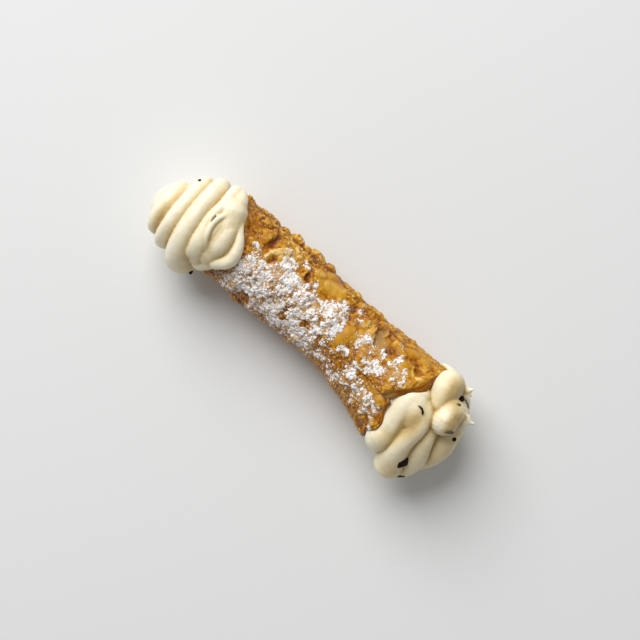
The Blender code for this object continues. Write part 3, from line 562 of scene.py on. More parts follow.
def spot(points, x, y, long, wide, turn, soft):
    """1 inside an ellipse seen from above, and 0 outside. Its edge is soft over a share of its size."""
    c = math.cos(math.radians(turn))
    s = math.sin(math.radians(turn))
    u = points[..., 0] - x
    v = points[..., 1] - y
    reach = np.sqrt(((u * c + v * s) / long) ** 2 + ((v * c - u * s) / wide) ** 2)
    seen = points[..., 2] > TOP_Z
    return smooth((1.0 + soft - reach) / (2.0 * soft)) * seen


def soft_union(shares):
    rest = 1.0
    for share in shares:
        rest = rest * (1.0 - share)
    return 1.0 - rest


def blurred(grid, steps):
    """A grid smoothed along its rows and, all the way round, along its columns."""
    for _ in range(steps):
        padded = np.concatenate([grid[:1], grid, grid[-1:]])
        grid = 0.25 * (padded[:-2] + padded[2:]) + 0.5 * grid
        grid = 0.25 * (np.roll(grid, 1, axis=1) + np.roll(grid, -1, axis=1)) + 0.5 * grid
    return grid


class Crust:
    """The pastry's outer face as a grid of rows along X and columns around, from the seam's edge."""

    def __init__(self):
        share = np.linspace(0.0, 1.0, PASTRY_ROWS)[:, None]
        around = np.linspace(0.0, 2.0 * math.pi, PASTRY_COLUMNS)
        around = around - TOP_CROWDING * np.sin(around)
        self.turns = around * (1.0 - LAP_SLIT / (2.0 * math.pi))
        self.start = left_rim(self.turns)
        self.end = right_rim(self.turns)
        self.x = self.start + (self.end - self.start) * share
        self.angle = self.turns + seam_at(self.x)
        self.nominal = on_tube(self.x, self.angle, 0.0)
        self.below = smooth((np.cos(self.angle) + 1.0) / 0.35)
        self.places = warped(self.nominal, 2.4, 1.1, 51)
        self.bay = soft_union([spot(self.places, *part, 0.14) for part in BAY])
        self.calm = soft_union([spot(self.nominal, *patch, 0.35) for patch in SMOOTH_PATCHES])
        self.rough = self.roughness()
        fine = self.fine_relief() * self.rough
        fine += 0.2 * fractal(self.nominal, (2.2, 1.1, 0.7), 40) * (1.0 - 0.6 * self.calm)
        self.relief = (self.large_relief() + fine) * (1.0 - 0.6 * self.bay) + self.dents()
        self.bumps = self.relief - blurred(self.relief, 8)
        self.out = self.lap() + self.relief * self.below
        self.tone = self.tones()

    def read(self, grid, x, angle):
        """A grid's values at any places, from the four points of the grid around each of them."""
        turn = (angle - seam_at(x)) % (2.0 * math.pi)
        column = np.interp(turn, self.turns, np.arange(PASTRY_COLUMNS)).clip(0.0, PASTRY_COLUMNS - 1.001)
        share = (x - left_rim(turn)) / (right_rim(turn) - left_rim(turn))
        row = share.clip(0.0, 1.0) * (PASTRY_ROWS - 1.001)
        i = row.astype(int)
        j = column.astype(int)
        u = row - i
        v = column - j
        near = grid[i, j] * (1.0 - v) + grid[i, j + 1] * v
        far = grid[i + 1, j] * (1.0 - v) + grid[i + 1, j + 1] * v
        return near * (1.0 - u) + far * u

    def roughness(self):
        """Share of the finer bubbles: most along both sides and on the ridge, few on calm stretches."""
        patchy = smooth(1.6 * fractal(self.nominal, (9.0, 4.5), 45) + 0.45)
        y = self.nominal[..., 1] - centre_y(self.x)
        far_side = smooth((y - 12.5) / 3.0)
        edges = np.maximum(smooth(0.5 - y / 9.0), far_side)
        uneven = np.maximum(np.maximum(patchy, edges), spot(self.nominal, *RIDGE))
        rough = (0.35 + 0.65 * uneven) * (1.0 - 0.8 * self.calm)
        return rough + 0.35 * far_side * smooth((26.0 - self.x) / 8.0) * (1.0 - self.calm)

    def lap(self):
        """The double dough's height, which the sugar and the blisters hide away from the +X mouth."""
        shown = 0.2 + 0.8 * smooth((self.x - 22.0) / 22.0)
        return lap_height(self.x, self.turns) * shown

    def dents(self):
        total = -BAY_DEPTH * self.bay
        for *place, height, soft in DENTS:
            total = total + height * spot(self.places, *place, soft)
        return total

    def tones(self):
        """From dark brown at -1 to pale gold at 1: painted patches, lumps, and the relief's tops paler and
        its crevices darker, partly the dough's browning and partly painted highlight and shade.
        """
        tone = 0.55 * fractal(self.nominal, (7.0, 3.2, 1.5), 60)
        for *place, amount in TONES:
            tone = tone + amount * spot(self.places, *place, 0.6)
        tone = tone * (1.0 - self.bay) + BAY_TONE * self.bay
        coarse = self.relief - blurred(self.relief, 30)
        # painted highlight and shade: relief tops paler, crevices darker
        return tone + np.clip(1.3 * self.bumps + 1.0 * coarse, -0.9, 0.75)

    def large_relief(self):
        raised = np.zeros_like(self.x)
        dented = np.zeros_like(self.x)
        for blister in named_and_random_blisters():
            if blister[5] > 0:
                raised = np.maximum(raised, dome(self.x, self.angle, blister))
            else:
                dented = np.minimum(dented, dome(self.x, self.angle, blister))
        wave = np.sin(0.31 * self.x + 2.0 * self.angle) * np.sin(0.17 * self.x - 3.0 * self.angle + 1.0)
        return raised + dented + CRUST_WAVE * wave

    def fine_relief(self):
        """Thousands of bubbles, each drawn in its own window of the grid."""
        total = 0.0
        draw = np.random.default_rng(FINE_SEED)
        for count, (small, large), tall in FINE_LAYERS:
            raised = np.zeros_like(self.x)
            for _ in range(count):
                turn = draw.uniform(0.0, 2.0 * math.pi)
                radius = small + (large - small) * draw.random() ** 2.0
                column = int(np.searchsorted(self.turns, turn)) % PASTRY_COLUMNS
                row = int(draw.random() * (PASTRY_ROWS - 1))
                reach = int(1.5 * radius / FINE_STEP) + 2
                window = np.ix_(
                    np.arange(max(row - reach, 0), min(row + reach + 1, PASTRY_ROWS)),
                    np.arange(column - reach, column + reach + 1) % PASTRY_COLUMNS,
                )
                stretch = draw.uniform(0.75, 1.33)
                blister = (
                    self.x[row, column], self.angle[row, column], radius * stretch, radius / stretch,
                    draw.uniform(0.0, math.pi), tall * radius * draw.uniform(0.4, 1.0),
                )
                bubble = dome(self.x[window], self.angle[window], blister)
                raised[window] = np.maximum(raised[window], bubble)
            total = total + raised
        return total


def mesh_object(name, points, faces):
    mesh = bpy.data.meshes.new(name)
    mesh.vertices.add(len(points))
    mesh.vertices.foreach_set("co", (np.asarray(points, float) * MM).ravel())
    faces = np.asarray(faces)
    sides = faces.shape[1]
    mesh.loops.add(faces.size)
    mesh.loops.foreach_set("vertex_index", faces.ravel())
    mesh.polygons.add(len(faces))
    mesh.polygons.foreach_set("loop_start", np.arange(0, faces.size, sides))
    mesh.update(calc_edges=True)
    mesh.validate()
    made = bpy.data.objects.new(name, mesh)
    bpy.context.scene.collection.objects.link(made)
    mesh.shade_smooth()
    return made


def grid_faces(rows, columns, close_rows, close_columns):
    i = np.arange(rows if close_rows else rows - 1)
    j = np.arange(columns if close_columns else columns - 1)
    i, j = (part.ravel() for part in np.meshgrid(i, j, indexing="ij"))
    ahead = (i + 1) % rows
    beside = (j + 1) % columns
    here = i * columns
    there = ahead * columns
    return np.column_stack([here + j, there + j, there + beside, here + beside])


def inside_box():
    """The lowest and highest corners that the pieces may reach, a hair inside the solids' box."""
    low, high = (np.array(corner) / MM for corner in cad_box)
    return low + (BOX_MARGIN, BOX_MARGIN, 0.0), high - BOX_MARGIN


def add_values(made, name, values):
    layer = made.data.attributes.new(name, "FLOAT", "POINT")
    layer.data.foreach_set("value", np.asarray(values, float).ravel())


def build_pastry(crust):
    outside = on_tube(crust.x, crust.angle, crust.out)
    ledge = UNDER_LEDGE[0] + UNDER_LEDGE[1] * lap_share(crust.turns)
    rims = crust.angle[-1]
    out = crust.out[-1]
    wall = []
    for share, fall in LEDGE_STEPS:
        wall.append(on_tube(crust.end + ledge * share, rims, out * (1 - fall) - LEDGE_SINK * share))
    end = crust.end + ledge
    wall.append(on_tube(end + RIM_ROUNDING, rims, -0.5 * WALL))
    for share in np.linspace(1.0, 0.0, INNER_ROWS):
        x = crust.start + (end - crust.start) * share
        wall.append(on_tube(x, crust.turns + seam_at(x), -WALL))
    wall.append(on_tube(crust.start - RIM_ROUNDING, crust.turns + seam_at(crust.start), -0.5 * WALL))
    grid = np.concatenate([outside, np.array(wall)])
    grid[..., 2] = np.maximum(grid[..., 2], 0.0)
    made = mesh_object("pastry", grid.reshape(-1, 3), grid_faces(*grid.shape[:2], True, True))
    corner = np.exp(-((crust.turns / LAP_CORNER) ** 2))
    ledge_rings = len(LEDGE_STEPS)
    # painted shade on the inner face and the ledge, and a paler rim edge that is partly painted highlight
    hidden = np.full((len(wall), PASTRY_COLUMNS), INSIDE_SHADE_TONE)
    hidden[0] = RIM_TONE
    hidden[1:ledge_rings] = np.array(LEDGE_SHADE_TONES)[:, None] + CORNER_TONE * corner
    plain = np.zeros(hidden.shape)
    tanned = plain.copy()
    tanned[:ledge_rings] = CORNER_TAN * corner
    cover = sugar_cover(crust)
    tans = soft_union([amount * spot(crust.places, *place, 0.5) for *place, amount in TANS])
    for name, shown, out_of_sight in (
        # painted shadow of the sugar on the crust under it
        ("tone", crust.tone - SUGAR_SHADOW_TONE * cover, hidden),
        ("veil", blurred(cover, 12) * (1.0 - 0.6 * crust.bay), plain),
        ("rough", crust.rough * (1.0 - crust.bay), plain + HIDDEN_ROUGH),
        ("tan", tans, tanned),
    ):
        add_values(made, name, np.concatenate([shown, out_of_sight]))
    made.data.materials.append(crust_material())
    return made


def sugar_cover(crust):
    """Share of the crust that sugar covers, at each point of the grid."""
    points = warped(crust.nominal, 2.6, 1.0, 71)
    x = points[..., 0]
    y = points[..., 1]
    edge_x, edge_y = np.array(FIELD_EDGE).T
    field = smooth((np.interp(x, edge_x, edge_y) - y + 1.2) / 2.4)
    field = field * smooth((x - edge_x[0] + 1.5) / 3.0) * smooth((edge_x[-1] - x + 0.8) / 1.6)
    lower = smooth((x - 5.0 + 0.35 * y) / 4.0) * smooth((3.0 - y) / 3.0)
    covers = [FIELD_COVER * field * (1.0 - lower)]
    covers += [amount * spot(points, *place, 0.3) for *place, amount in PATCHES]
    bare = soft_union([spot(points, *patch, 0.25) for patch in BARE_PATCHES])
    steep = smooth((np.cos(crust.angle) - 0.02) / 0.72)
    return soft_union(covers) * (1.0 - 0.92 * bare) * (0.12 + 0.88 * steep) * (np.cos(crust.angle) > -0.3)


def warped(points, size, reach, seed):
    """Points moved about by noise, so that what is drawn at them gets an uneven edge."""
    return points + reach * np.stack([lumps(points, size, seed + axis) for axis in range(3)], axis=-1)


def clumps(x, angle, chance):
    """Height of thousands of small heaps of sugar that run together, thrown where chance lets them."""
    height = np.full(x.shape, -SUGAR_SUNK)
    draw = np.random.default_rng(SUGAR_SEED)
    rows, columns = x.shape
    for _ in range(CLUMP_COUNT):
        i = int(draw.random() * rows)
        j = int(draw.random() * columns)
        radius = CLUMP_RADIUS[0] + (CLUMP_RADIUS[1] - CLUMP_RADIUS[0]) * draw.random() ** 2.2
        radius *= 0.6 + 0.4 * chance[i, j]
        tall = draw.uniform(*CLUMP_HEIGHT) * (0.5 + 0.6 * radius)
        stretch = draw.uniform(0.75, 1.33)
        turn = draw.uniform(0.0, math.pi)
        if draw.random() > chance[i, j]:
            continue
        reach = int(1.4 * radius / SUGAR_STEP) + 2
        window = (slice(max(i - reach, 0), i + reach + 1), slice(max(j - reach, 0), j + reach + 1))
        u = x[window] - x[i, j]
        v = (angle[window] - angle[i, j]) * SUGAR_RADIUS
        c, s = math.cos(turn), math.sin(turn)
        d2 = ((u * c + v * s) / (radius * stretch)) ** 2 + ((v * c - u * s) / radius * stretch) ** 2
        heap = np.where(d2 < 1.0, 0.04 + tall * np.sqrt(np.clip(1.0 - d2, 0.0, None)), -SUGAR_SUNK)
        height[window] = np.maximum(height[window], heap)
    return height


def sugar_heap(crust):
    """A fine grid over the top of the tube: x, angle, the crust's height, cover and the sugar's height."""
    x, angle = np.meshgrid(
        np.arange(LEFT_MOUTH_X - 3.0, RIGHT_MOUTH_X + 3.0, SUGAR_STEP),
        np.arange(*SUGAR_SIDES, SUGAR_STEP / SUGAR_RADIUS),
        indexing="ij",
    )
    out = crust.read(crust.out, x, angle)
    cover = crust.read(sugar_cover(crust), x, angle)
    bumps = crust.read(crust.bumps, x, angle)
    turn = (angle - seam_at(x)) % (2.0 * math.pi)
    on_crust = (x > left_rim(turn) + 0.3) & (x < right_rim(turn) - 0.3)
    place = on_tube(x, angle, out)
    cover = cover * on_crust
    spread = SUGAR_SPREAD * fractal(place, (2.4, 1.2), SUGAR_SEED, 0.9)
    gaps = np.abs(lumps(place, 1.5, 99))
    reach = cover + spread + 0.5 * bumps - SUGAR_THRESHOLD
    chance = np.where(cover > 0.02, smooth(0.5 + 1.6 * reach) * smooth(3.0 * cover - 0.2), 0.0)
    lower = smooth(-0.1 - place[..., 1] / 11.0)
    chance = chance * smooth((gaps - 0.05 - 0.1 * lower) / 0.17) + 0.02 * smooth(3.0 * cover - 0.3)
    height = clumps(x, angle, chance)
    uneven = 0.24 * lumps(place, 2.2, 95) + 0.06 * lumps(place, 0.45, 97)
    return x, angle, out, cover, np.where(height > 0.0, np.maximum(height + uneven, 0.03), height)


def build_sugar(heap):
    x, angle, out, cover, height = heap
    points = on_tube(x, angle, out + height)
    rows, columns = x.shape
    faces = grid_faces(rows, columns, False, False)
    shown = (height > 0.0).ravel()
    faces = faces[shown[faces].any(axis=1)]
    used = np.unique(faces)
    index = np.zeros(rows * columns, int)
    index[used] = np.arange(len(used))
    made = mesh_object("sugar_crust", points.reshape(-1, 3)[used], index[faces])
    # the colour value: the sugar's height, lowered towards -Y, where the sugar is painted darker
    add_values(made, "height", (height - 0.2 * smooth((-4.0 - points[..., 1]) / 8.0)).ravel()[used])
    made.data.materials.append(sugar_material())
    return made


def build_grains(heap):
    """Loose crumbs of sugar on and around the patches, each a small uneven lump of 20 faces."""
    x, angle, out, cover, height = heap
    draw = np.random.default_rng(GRAIN_SEED)
    weight = (cover * (1.1 - cover) + 0.01 * (cover > 0.01)).ravel()
    weight = weight * (np.cos(angle).ravel() > -0.25)
    chosen = draw.choice(weight.size, GRAIN_COUNT, replace=False, p=weight / weight.sum())
    ball = bmesh.new()
    bmesh.ops.create_icosphere(ball, subdivisions=1, radius=1.0)
    shape = np.array([vert.co[:] for vert in ball.verts])
    sides = np.array([[vert.index for vert in face.verts] for face in ball.faces])
    ball.free()
    small, large = GRAIN_RADIUS
    radius = small + (large - small) * draw.random(GRAIN_COUNT) ** 2.0
    lift = np.maximum(height.ravel()[chosen], 0.0) + 0.25 * radius
    centre = on_tube(x.ravel()[chosen], angle.ravel()[chosen], out.ravel()[chosen] + lift)
    uneven = 1.0 + draw.uniform(-0.35, 0.35, (GRAIN_COUNT, len(shape), 1))
    squash = draw.uniform(0.75, 1.25, (GRAIN_COUNT, 1, 3))
    points = centre[:, None] + radius[:, None, None] * shape * uneven * squash
    faces = sides[None] + (np.arange(GRAIN_COUNT) * len(shape))[:, None, None]
    made = mesh_object("sugar_grains", points.reshape(-1, 3), faces.reshape(-1, 3))
    add_values(made, "height", np.repeat(draw.uniform(-0.1, 0.45, GRAIN_COUNT), len(shape)))
    made.data.materials.append(sugar_material())
    return made


def curve_through(stations, step):
    """A smooth line through stations of x, y, z and radius, with a ring every step or so."""
    given = np.array(stations, float)
    if len(given) == 2:
        given = np.array([given[0], given.mean(axis=0), given[1]])
    padded = np.vstack([2 * given[0] - given[1], given, 2 * given[-1] - given[-2]])
    found = []
    for a, b, c, d in zip(padded[:-3], padded[1:-2], padded[2:-1], padded[3:]):
        count = max(2, round(float(np.linalg.norm((c - b)[:3])) / step))
        for t in np.arange(count) / count:
            bend = (2 * a - 5 * b + 4 * c - d) * t**2 + (3 * b - a - 3 * c + d) * t**3
            found.append(0.5 * (2 * b + (c - a) * t + bend))
    found.append(given[-1])
    return np.array(found)


def rope(line, outward=None):
    """Points and triangles of a closed strand along a line of x, y, z and radius, with round ends.

    With the way outward at each ring, it is the swirl's rope, whose crest stands proud and leans.
    """
    points = line[:, :3]
    radii = line[:, 3]
    along = np.gradient(points, axis=0)
    along /= np.linalg.norm(along, axis=1)[:, None]
    side = np.cross(along[0], (0.3, 0.2, 1.0))
    turns = np.arange(ROPE_SIDES) * 2.0 * math.pi / ROPE_SIDES
    lifts = np.radians([80, 60, 40, 20])
    cap = list(zip(np.sin(lifts), np.cos(lifts)))
    rings = []
    for i, centre in enumerate(points):
        side = side - along[i] * side.dot(along[i])
        side /= np.linalg.norm(side)
        other = np.cross(along[i], side)
        spokes = np.outer(np.cos(turns), side) + np.outer(np.sin(turns), other)
        if outward is not None:
            rise = (spokes @ outward[i])[:, None]
            spokes = spokes + rise * (SWIRL_PROUD * outward[i] - (SWIRL_LEAN, 0.0, 0.0))
        if i == 0:
            rings += [centre + radii[i] * (spokes * wide - along[i] * out) for out, wide in cap]
        rings.append(centre + spokes * radii[i])
        if i == len(points) - 1:
            rings += [centre + radii[i] * (spokes * wide + along[i] * out) for out, wide in cap[::-1]]
    tips = [points[0] - along[0] * radii[0], points[-1] + along[-1] * radii[-1]]
    return tube_mesh(rings, tips)


def tube_mesh(rings, tips=None):
    """Points and triangles of rings joined in a row, closed at both ends by a tip or else flat."""
    if tips is None:
        tips = [rings[0].mean(axis=0), rings[-1].mean(axis=0)]
    sides = len(rings[0])
    points = np.concatenate([*rings, np.array(tips)])
    quads = grid_faces(len(rings), sides, False, True)[:, ::-1]
    j = np.arange(sides)
    k = (j + 1) % sides
    last = (len(rings) - 1) * sides
    first_tip = len(points) - 2
    triangles = np.concatenate([
        quads[:, (0, 1, 2)],
        quads[:, (0, 2, 3)],
        np.column_stack([k, j, np.full(sides, first_tip)]),
        np.column_stack([last + j, last + k, np.full(sides, first_tip + 1)]),
    ])
    return points, triangles


def swirl_line():
    """The rope of the swirl, with its stations blended into each other."""
    given = np.array(SWIRL)
    turn = np.linspace(given[0, 0], given[-1, 0], 300)
    shifts = SWIRL_BLEND * np.array([-1.0, -0.5, 0.0, 0.5, 1.0])
    x, middle, wide, radius = (
        np.mean([np.interp(turn + shift, given[:, 0], given[:, column]) for shift in shifts], axis=0)
        for column in range(1, 5)
    )
    wide = wide - SWIRL_PROUD * radius
    y = middle + wide * np.sin(2.0 * math.pi * turn)
    z = SWIRL_Z + SWIRL_SQUASH * wide * np.cos(2.0 * math.pi * turn)
    return np.column_stack([x, y, z, radius])


def swirl_outward(line):
    """For each ring of the swirl's rope, the way out from the middle."""
    out = line[:, :3] - (0.0, 0.0, SWIRL_Z)
    out[:, 0] = 0.0
    return out / np.linalg.norm(out, axis=1)[:, None]


def core_turns():
    return -np.arange(CORE_SIDES) * 2.0 * math.pi / CORE_SIDES


def swirl_body():
    x, middle, radius = np.array(SWIRL_BODY).T
    along = np.linspace(x[0], x[-1], 40)
    turns = core_turns()
    rings = []
    for at, y, wide in zip(along, np.interp(along, x, middle), np.interp(along, x, radius)):
        z = SWIRL_Z + SWIRL_SQUASH * wide * np.cos(turns)
        rings.append(np.column_stack([np.full(CORE_SIDES, at), y + wide * np.sin(turns), z]))
    return tube_mesh(rings)


def bed_height(x, y):
    """Height of what the folds at the -X mouth lie on: the tube, and past its rim the wound cream."""
    out = LAP + (BED_OUT - LAP) * smooth((BED_STEP_X + 3.0 - x) / 6.0)
    across = np.clip((y - centre_y(x)) / (half_width(x) + out), -0.98, 0.98)
    return centre_z(x) + (half_height(x) + out) * math.sqrt(1.0 - across**2)


def core_of_cream(start, end):
    """A stretch of the cream inside the tube, closed at both ends, clear of the wall."""
    turns = core_turns()
    rings = []
    for x in np.arange(start, end + 1.0, CORE_STEP).clip(start, end):
        rings.append(on_tube(np.full(CORE_SIDES, x), turns, -WALL - CORE_CLEARANCE))
    return tube_mesh(rings)


def cream_strands():
    swirl = swirl_line()
    lines = []
    for stations in FOLDS.values():
        laid = [(x, y, bed_height(x, y) + lift, radius) for x, y, lift, radius in stations]
        lines.append(curve_through(laid, STRAND_STEP))
    for stations in (SWIRL_HEART, *LOBES.values()):
        lines.append(curve_through(stations, STRAND_STEP))
    inner_start, inner_end = INNER_CORE
    cores = [core_of_cream(CORE_START_X, inner_start), core_of_cream(inner_end, CORE_END_X)]
    return [*cores, swirl_body(), rope(swirl, swirl_outward(swirl)), *(rope(line) for line in lines)]


def joined(parts):
    """Points and faces of several meshes put together."""
    points = np.concatenate([part[0] for part in parts])
    starts = np.cumsum([0] + [len(part[0]) for part in parts[:-1]])
    faces = np.concatenate([part[1] + start for part, start in zip(parts, starts)])
    return points, faces


def read(items, name, width, kind=float):
    """What each of a mesh's items holds under a name, such as its vertices' places."""
    values = np.empty(len(items) * width, kind)
    items.foreach_get(name, values)
    return values.reshape(-1, width)


def softened(values, edges, steps):
    """Values at points, each moved towards its neighbours' mean again and again."""
    values = values.copy()
    count = len(values)
    near = np.bincount(edges.ravel(), minlength=count)[:, None]
    for _ in range(steps):
        total = np.empty_like(values)
        for axis in range(values.shape[1]):
            total[:, axis] = np.bincount(edges[:, 0], values[edges[:, 1], axis], count)
            total[:, axis] += np.bincount(edges[:, 1], values[edges[:, 0], axis], count)
        values += 0.6 * (total / near - values)
    return values


def build_cream():
    made = mesh_object("cream", *joined(cream_strands()))
    remesh = made.modifiers.new("remesh", "REMESH")
    remesh.mode = "VOXEL"
    remesh.voxel_size = CREAM_VOXEL * MM
    bpy.context.view_layer.objects.active = made
    bpy.ops.object.modifier_apply(modifier=remesh.name)
    mesh = made.data
    edges = read(mesh.edges, "vertices", 2, int)
    points = softened(read(mesh.vertices, "co", 3) / MM, edges, CREAM_SOFTENING)
    merged = softened(points, edges, MERGED_ROUNDS)
    for *place, much in MERGED:
        points = points + much * spot(points, *place, 0.5)[:, None] * (merged - points)
    mesh.vertices.foreach_set("co", (points * MM).ravel())
    mesh.update()
    normals = read(mesh.vertex_normals, "vector", 3)
    thin = softened(points, edges, THIN_ROUNDS)
    wide = softened(thin, edges, WIDE_ROUNDS)
    # Painted shade: how deep each point lies in a fine crease and in a broad hollow, which the cream's
    # material paints darker and yellower.
    crease_shade = np.einsum("ij,ij->i", thin - points, normals)
    hollow_shade = np.einsum("ij,ij->i", wide - points, normals)
    add_values(made, "crease_shade", crease_shade)
    # painted shade on the sides that face away from the key light at -X
    hollow_shade = hollow_shade + CREAM_SIDE_SHADE * normals[:, 0]
    # painted shade at the listed places
    for *place, amount in CREAM_SHADE_TONES:
        hollow_shade = hollow_shade + amount * spot(points, *place, 0.7)
    add_values(made, "hollow_shade", hollow_shade)
    ragged = CREAM_UNEVEN + sum(
        much * smooth(1.4 - np.linalg.norm(points - place, axis=1) / reach)
        for *place, reach, much in RAGGED
    )
    points = points + normals * (ragged * fractal(points, (6.0, 2.6, 1.2, 0.8), 120))[:, None]
    low, high = inside_box()
    points = np.clip(points, low, high)
    mesh.vertices.foreach_set("co", (points * MM).ravel())
    mesh.update()
    thinned = made.modifiers.new("thinned", "DECIMATE")
    thinned.ratio = CREAM_SHARE
    bpy.ops.object.modifier_apply(modifier=thinned.name)
    deep = mesh_object("inner_core", *core_of_cream(INNER_CORE[0] - 2.0, INNER_CORE[1] + 2.0))
    bpy.ops.object.select_all(action="DESELECT")
    bpy.context.view_layer.objects.active = made
    deep.select_set(True)
    made.select_set(True)
    bpy.ops.object.join()
    mesh.shade_smooth()
    mesh.materials.clear()
    mesh.materials.append(cream_material())
    return made


def chip_ring(outline, draw):
    """An outline with points between its corners, moved about a little."""
    corners = np.array(CHIP_OUTLINES[outline])
    middles = 0.5 * (corners + np.roll(corners, -1, axis=0))
    ring = np.stack([corners, middles], axis=1).reshape(-1, 2)
    return ring + draw.uniform(-0.03, 0.03, ring.shape)


def build_chips(cream):
    """Broken pieces of chocolate, each raised from an outline and narrowed to an uneven top."""
    tree = BVHTree.FromObject(cream, bpy.context.evaluated_depsgraph_get())
    draw = np.random.default_rng(CHIP_SEED)
    points = []
    faces = []
    films = []
    for (x, y, length, width, height, turn), (outline, film) in zip(CHIPS, CHIP_LOOKS):
        point, normal, _, _ = tree.ray_cast(Vector((x, y, CHIP_DROP)) * MM, Vector((0.0, 0.0, -1.0)))
        normal = (normal + Vector((0.0, 0.0, CHIP_LIFT))).normalized()
        ahead = Vector((math.cos(math.radians(turn)), math.sin(math.radians(turn)), 0.0))
        ahead = (ahead - normal * ahead.dot(normal)).normalized()
        beside = normal.cross(ahead)
        middle = np.array(point / MM - normal * (CHIP_SUNK * height))
        ahead, beside, normal = (np.array(axis) for axis in (ahead, beside, normal))
        ring = chip_ring(outline, draw)
        centre = ring.mean(axis=0)
        first = len(points)
        for level, share in CHIP_LEVELS:
            for i, j in centre + (ring - centre) * share:
                up = (level + draw.uniform(-0.06, 0.06)) * height + 0.1 * i * length
                points.append(middle + ahead * i * length + beside * j * width + normal * up)
        top = middle + ahead * centre[0] * length + beside * centre[1] * width
        points.append(top + normal * CHIP_LEVELS[-1][0] * height)
        count = len(ring)
        last = first + (len(CHIP_LEVELS) - 1) * count
        for low in range(first, last, count):
            for k in range(count):
                after = (k + 1) % count
                faces.append((low + k, low + after, low + count + after, low + count + k))
        faces += [(last + k, last + (k + 1) % count, len(points) - 1) for k in range(count)]
        films += [film] * (len(points) - first)
    mesh = bpy.data.meshes.new("chips")
    low, high = inside_box()
    mesh.from_pydata(np.clip(points, low, high) * MM, [], faces)
    made = bpy.data.objects.new("chips", mesh)
    bpy.context.scene.collection.objects.link(made)
    add_values(made, "film", films)
    mesh.shade_smooth()
    mesh.set_sharp_from_angle(angle=math.radians(40))
    mesh.materials.append(chip_material())
    return made


def new_material(name):
    material = bpy.data.materials.new(name)
    material.use_nodes = True
    tree = material.node_tree
    return material, tree, tree.nodes["Principled BSDF"]


def srgb(red, green, blue):
    """A colour given as it shows, 0 to 255, in the linear values that shaders take."""
    shown = np.array([red, green, blue]) / 255.0
    linear = np.where(shown <= 0.04045, shown / 12.92, ((shown + 0.055) / 1.055) ** 2.4)
    return (*(float(part) for part in linear), 1.0)


def set_inputs(made, **inputs):
    """Sets a node's inputs by name, with underscores for the spaces in it."""
    for name, value in inputs.items():
        made.inputs[name.replace("_", " ")].default_value = value


def node(tree, kind, settings=None, **inputs):
    made = tree.nodes.new(kind)
    for name, value in (settings or {}).items():
        setattr(made, name, value)
    set_inputs(made, **inputs)
    return made


def own_space(tree):
    """The object's own coordinates, from a node that each material makes once."""
    where = tree.nodes.get("where") or node(tree, "ShaderNodeTexCoord", {"name": "where"})
    return where.outputs["Object"]


def noise(tree, size, detail=3.0, roughness=0.55):
    """Noise with lumps about as large as size, in millimetres, in the object's own space."""
    made = node(tree, "ShaderNodeTexNoise", Scale=1.0 / (size * MM), Detail=detail, Roughness=roughness)
    tree.links.new(own_space(tree), made.inputs["Vector"])
    return made.outputs["Fac"]


def value_of(tree, name):
    return node(tree, "ShaderNodeAttribute", {"attribute_name": name}).outputs["Fac"]


def sum_of(tree, first, second, factor, offset=0.0):
    """first + second * factor + offset."""
    scaled = node(tree, "ShaderNodeMath", {"operation": "MULTIPLY_ADD"})
    tree.links.new(second, scaled.inputs[0])
    scaled.inputs[1].default_value = factor
    tree.links.new(first, scaled.inputs[2])
    if offset == 0.0:
        return scaled.outputs[0]
    moved = node(tree, "ShaderNodeMath", {"operation": "ADD"})
    tree.links.new(scaled.outputs[0], moved.inputs[0])
    moved.inputs[1].default_value = offset
    return moved.outputs[0]


def product(tree, first, second):
    made = node(tree, "ShaderNodeMath", {"operation": "MULTIPLY"})
    tree.links.new(first, made.inputs[0])
    tree.links.new(second, made.inputs[1])
    return made.outputs[0]


def mapped(tree, value, low, high, to_low=0.0, to_high=1.0):
    made = node(
        tree, "ShaderNodeMapRange", {"clamp": True},
        From_Min=low, From_Max=high, To_Min=to_low, To_Max=to_high,
    )
    tree.links.new(value, made.inputs["Value"])
    return made.outputs["Result"]


def ramp(tree, value, stops):
    """A colour ramp over places from 0 to 1."""
    made = node(tree, "ShaderNodeValToRGB")
    elements = made.color_ramp.elements
    while len(elements) < len(stops):
        elements.new(0.5)
    for element, (place, colour) in zip(elements, stops):
        element.position = place
        element.color = colour
    tree.links.new(value, made.inputs["Fac"])
    return made.outputs["Color"]


def mixed(tree, share, first, second):
    """Two colours mixed: each is a socket or a fixed colour, and share is a socket."""
    made = node(tree, "ShaderNodeMix", {"data_type": "RGBA", "clamp_factor": True})
    tree.links.new(share, made.inputs["Factor"])
    for colour, socket in ((first, made.inputs[6]), (second, made.inputs[7])):
        if isinstance(colour, tuple):
            socket.default_value = colour
        else:
            tree.links.new(colour, socket)
    return made.outputs[2]


def bump(tree, shader, height, distance, strength=1.0):
    made = node(tree, "ShaderNodeBump", Strength=strength, Distance=distance * MM)
    tree.links.new(height, made.inputs["Height"])
    tree.links.new(made.outputs["Normal"], shader.inputs["Normal"])


def cells(tree, size):
    """Uneven rounded cells about as large as size: 1 in the middle of each and 0 between them."""
    stir = node(tree, "ShaderNodeTexNoise", Scale=0.5 / (size * MM), Detail=1.0)
    tree.links.new(own_space(tree), stir.inputs["Vector"])
    stirred = node(tree, "ShaderNodeVectorMath", {"operation": "MULTIPLY_ADD"})
    tree.links.new(stir.outputs["Color"], stirred.inputs[0])
    stirred.inputs[1].default_value = (1.4 * size * MM,) * 3
    tree.links.new(own_space(tree), stirred.inputs[2])
    made = node(tree, "ShaderNodeTexVoronoi", {"feature": "F1"}, Scale=1.0 / (size * MM), Randomness=1.0)
    tree.links.new(stirred.outputs[0], made.inputs["Vector"])
    return mapped(tree, made.outputs["Distance"], 0.1, 0.8, 1.0, 0.0)


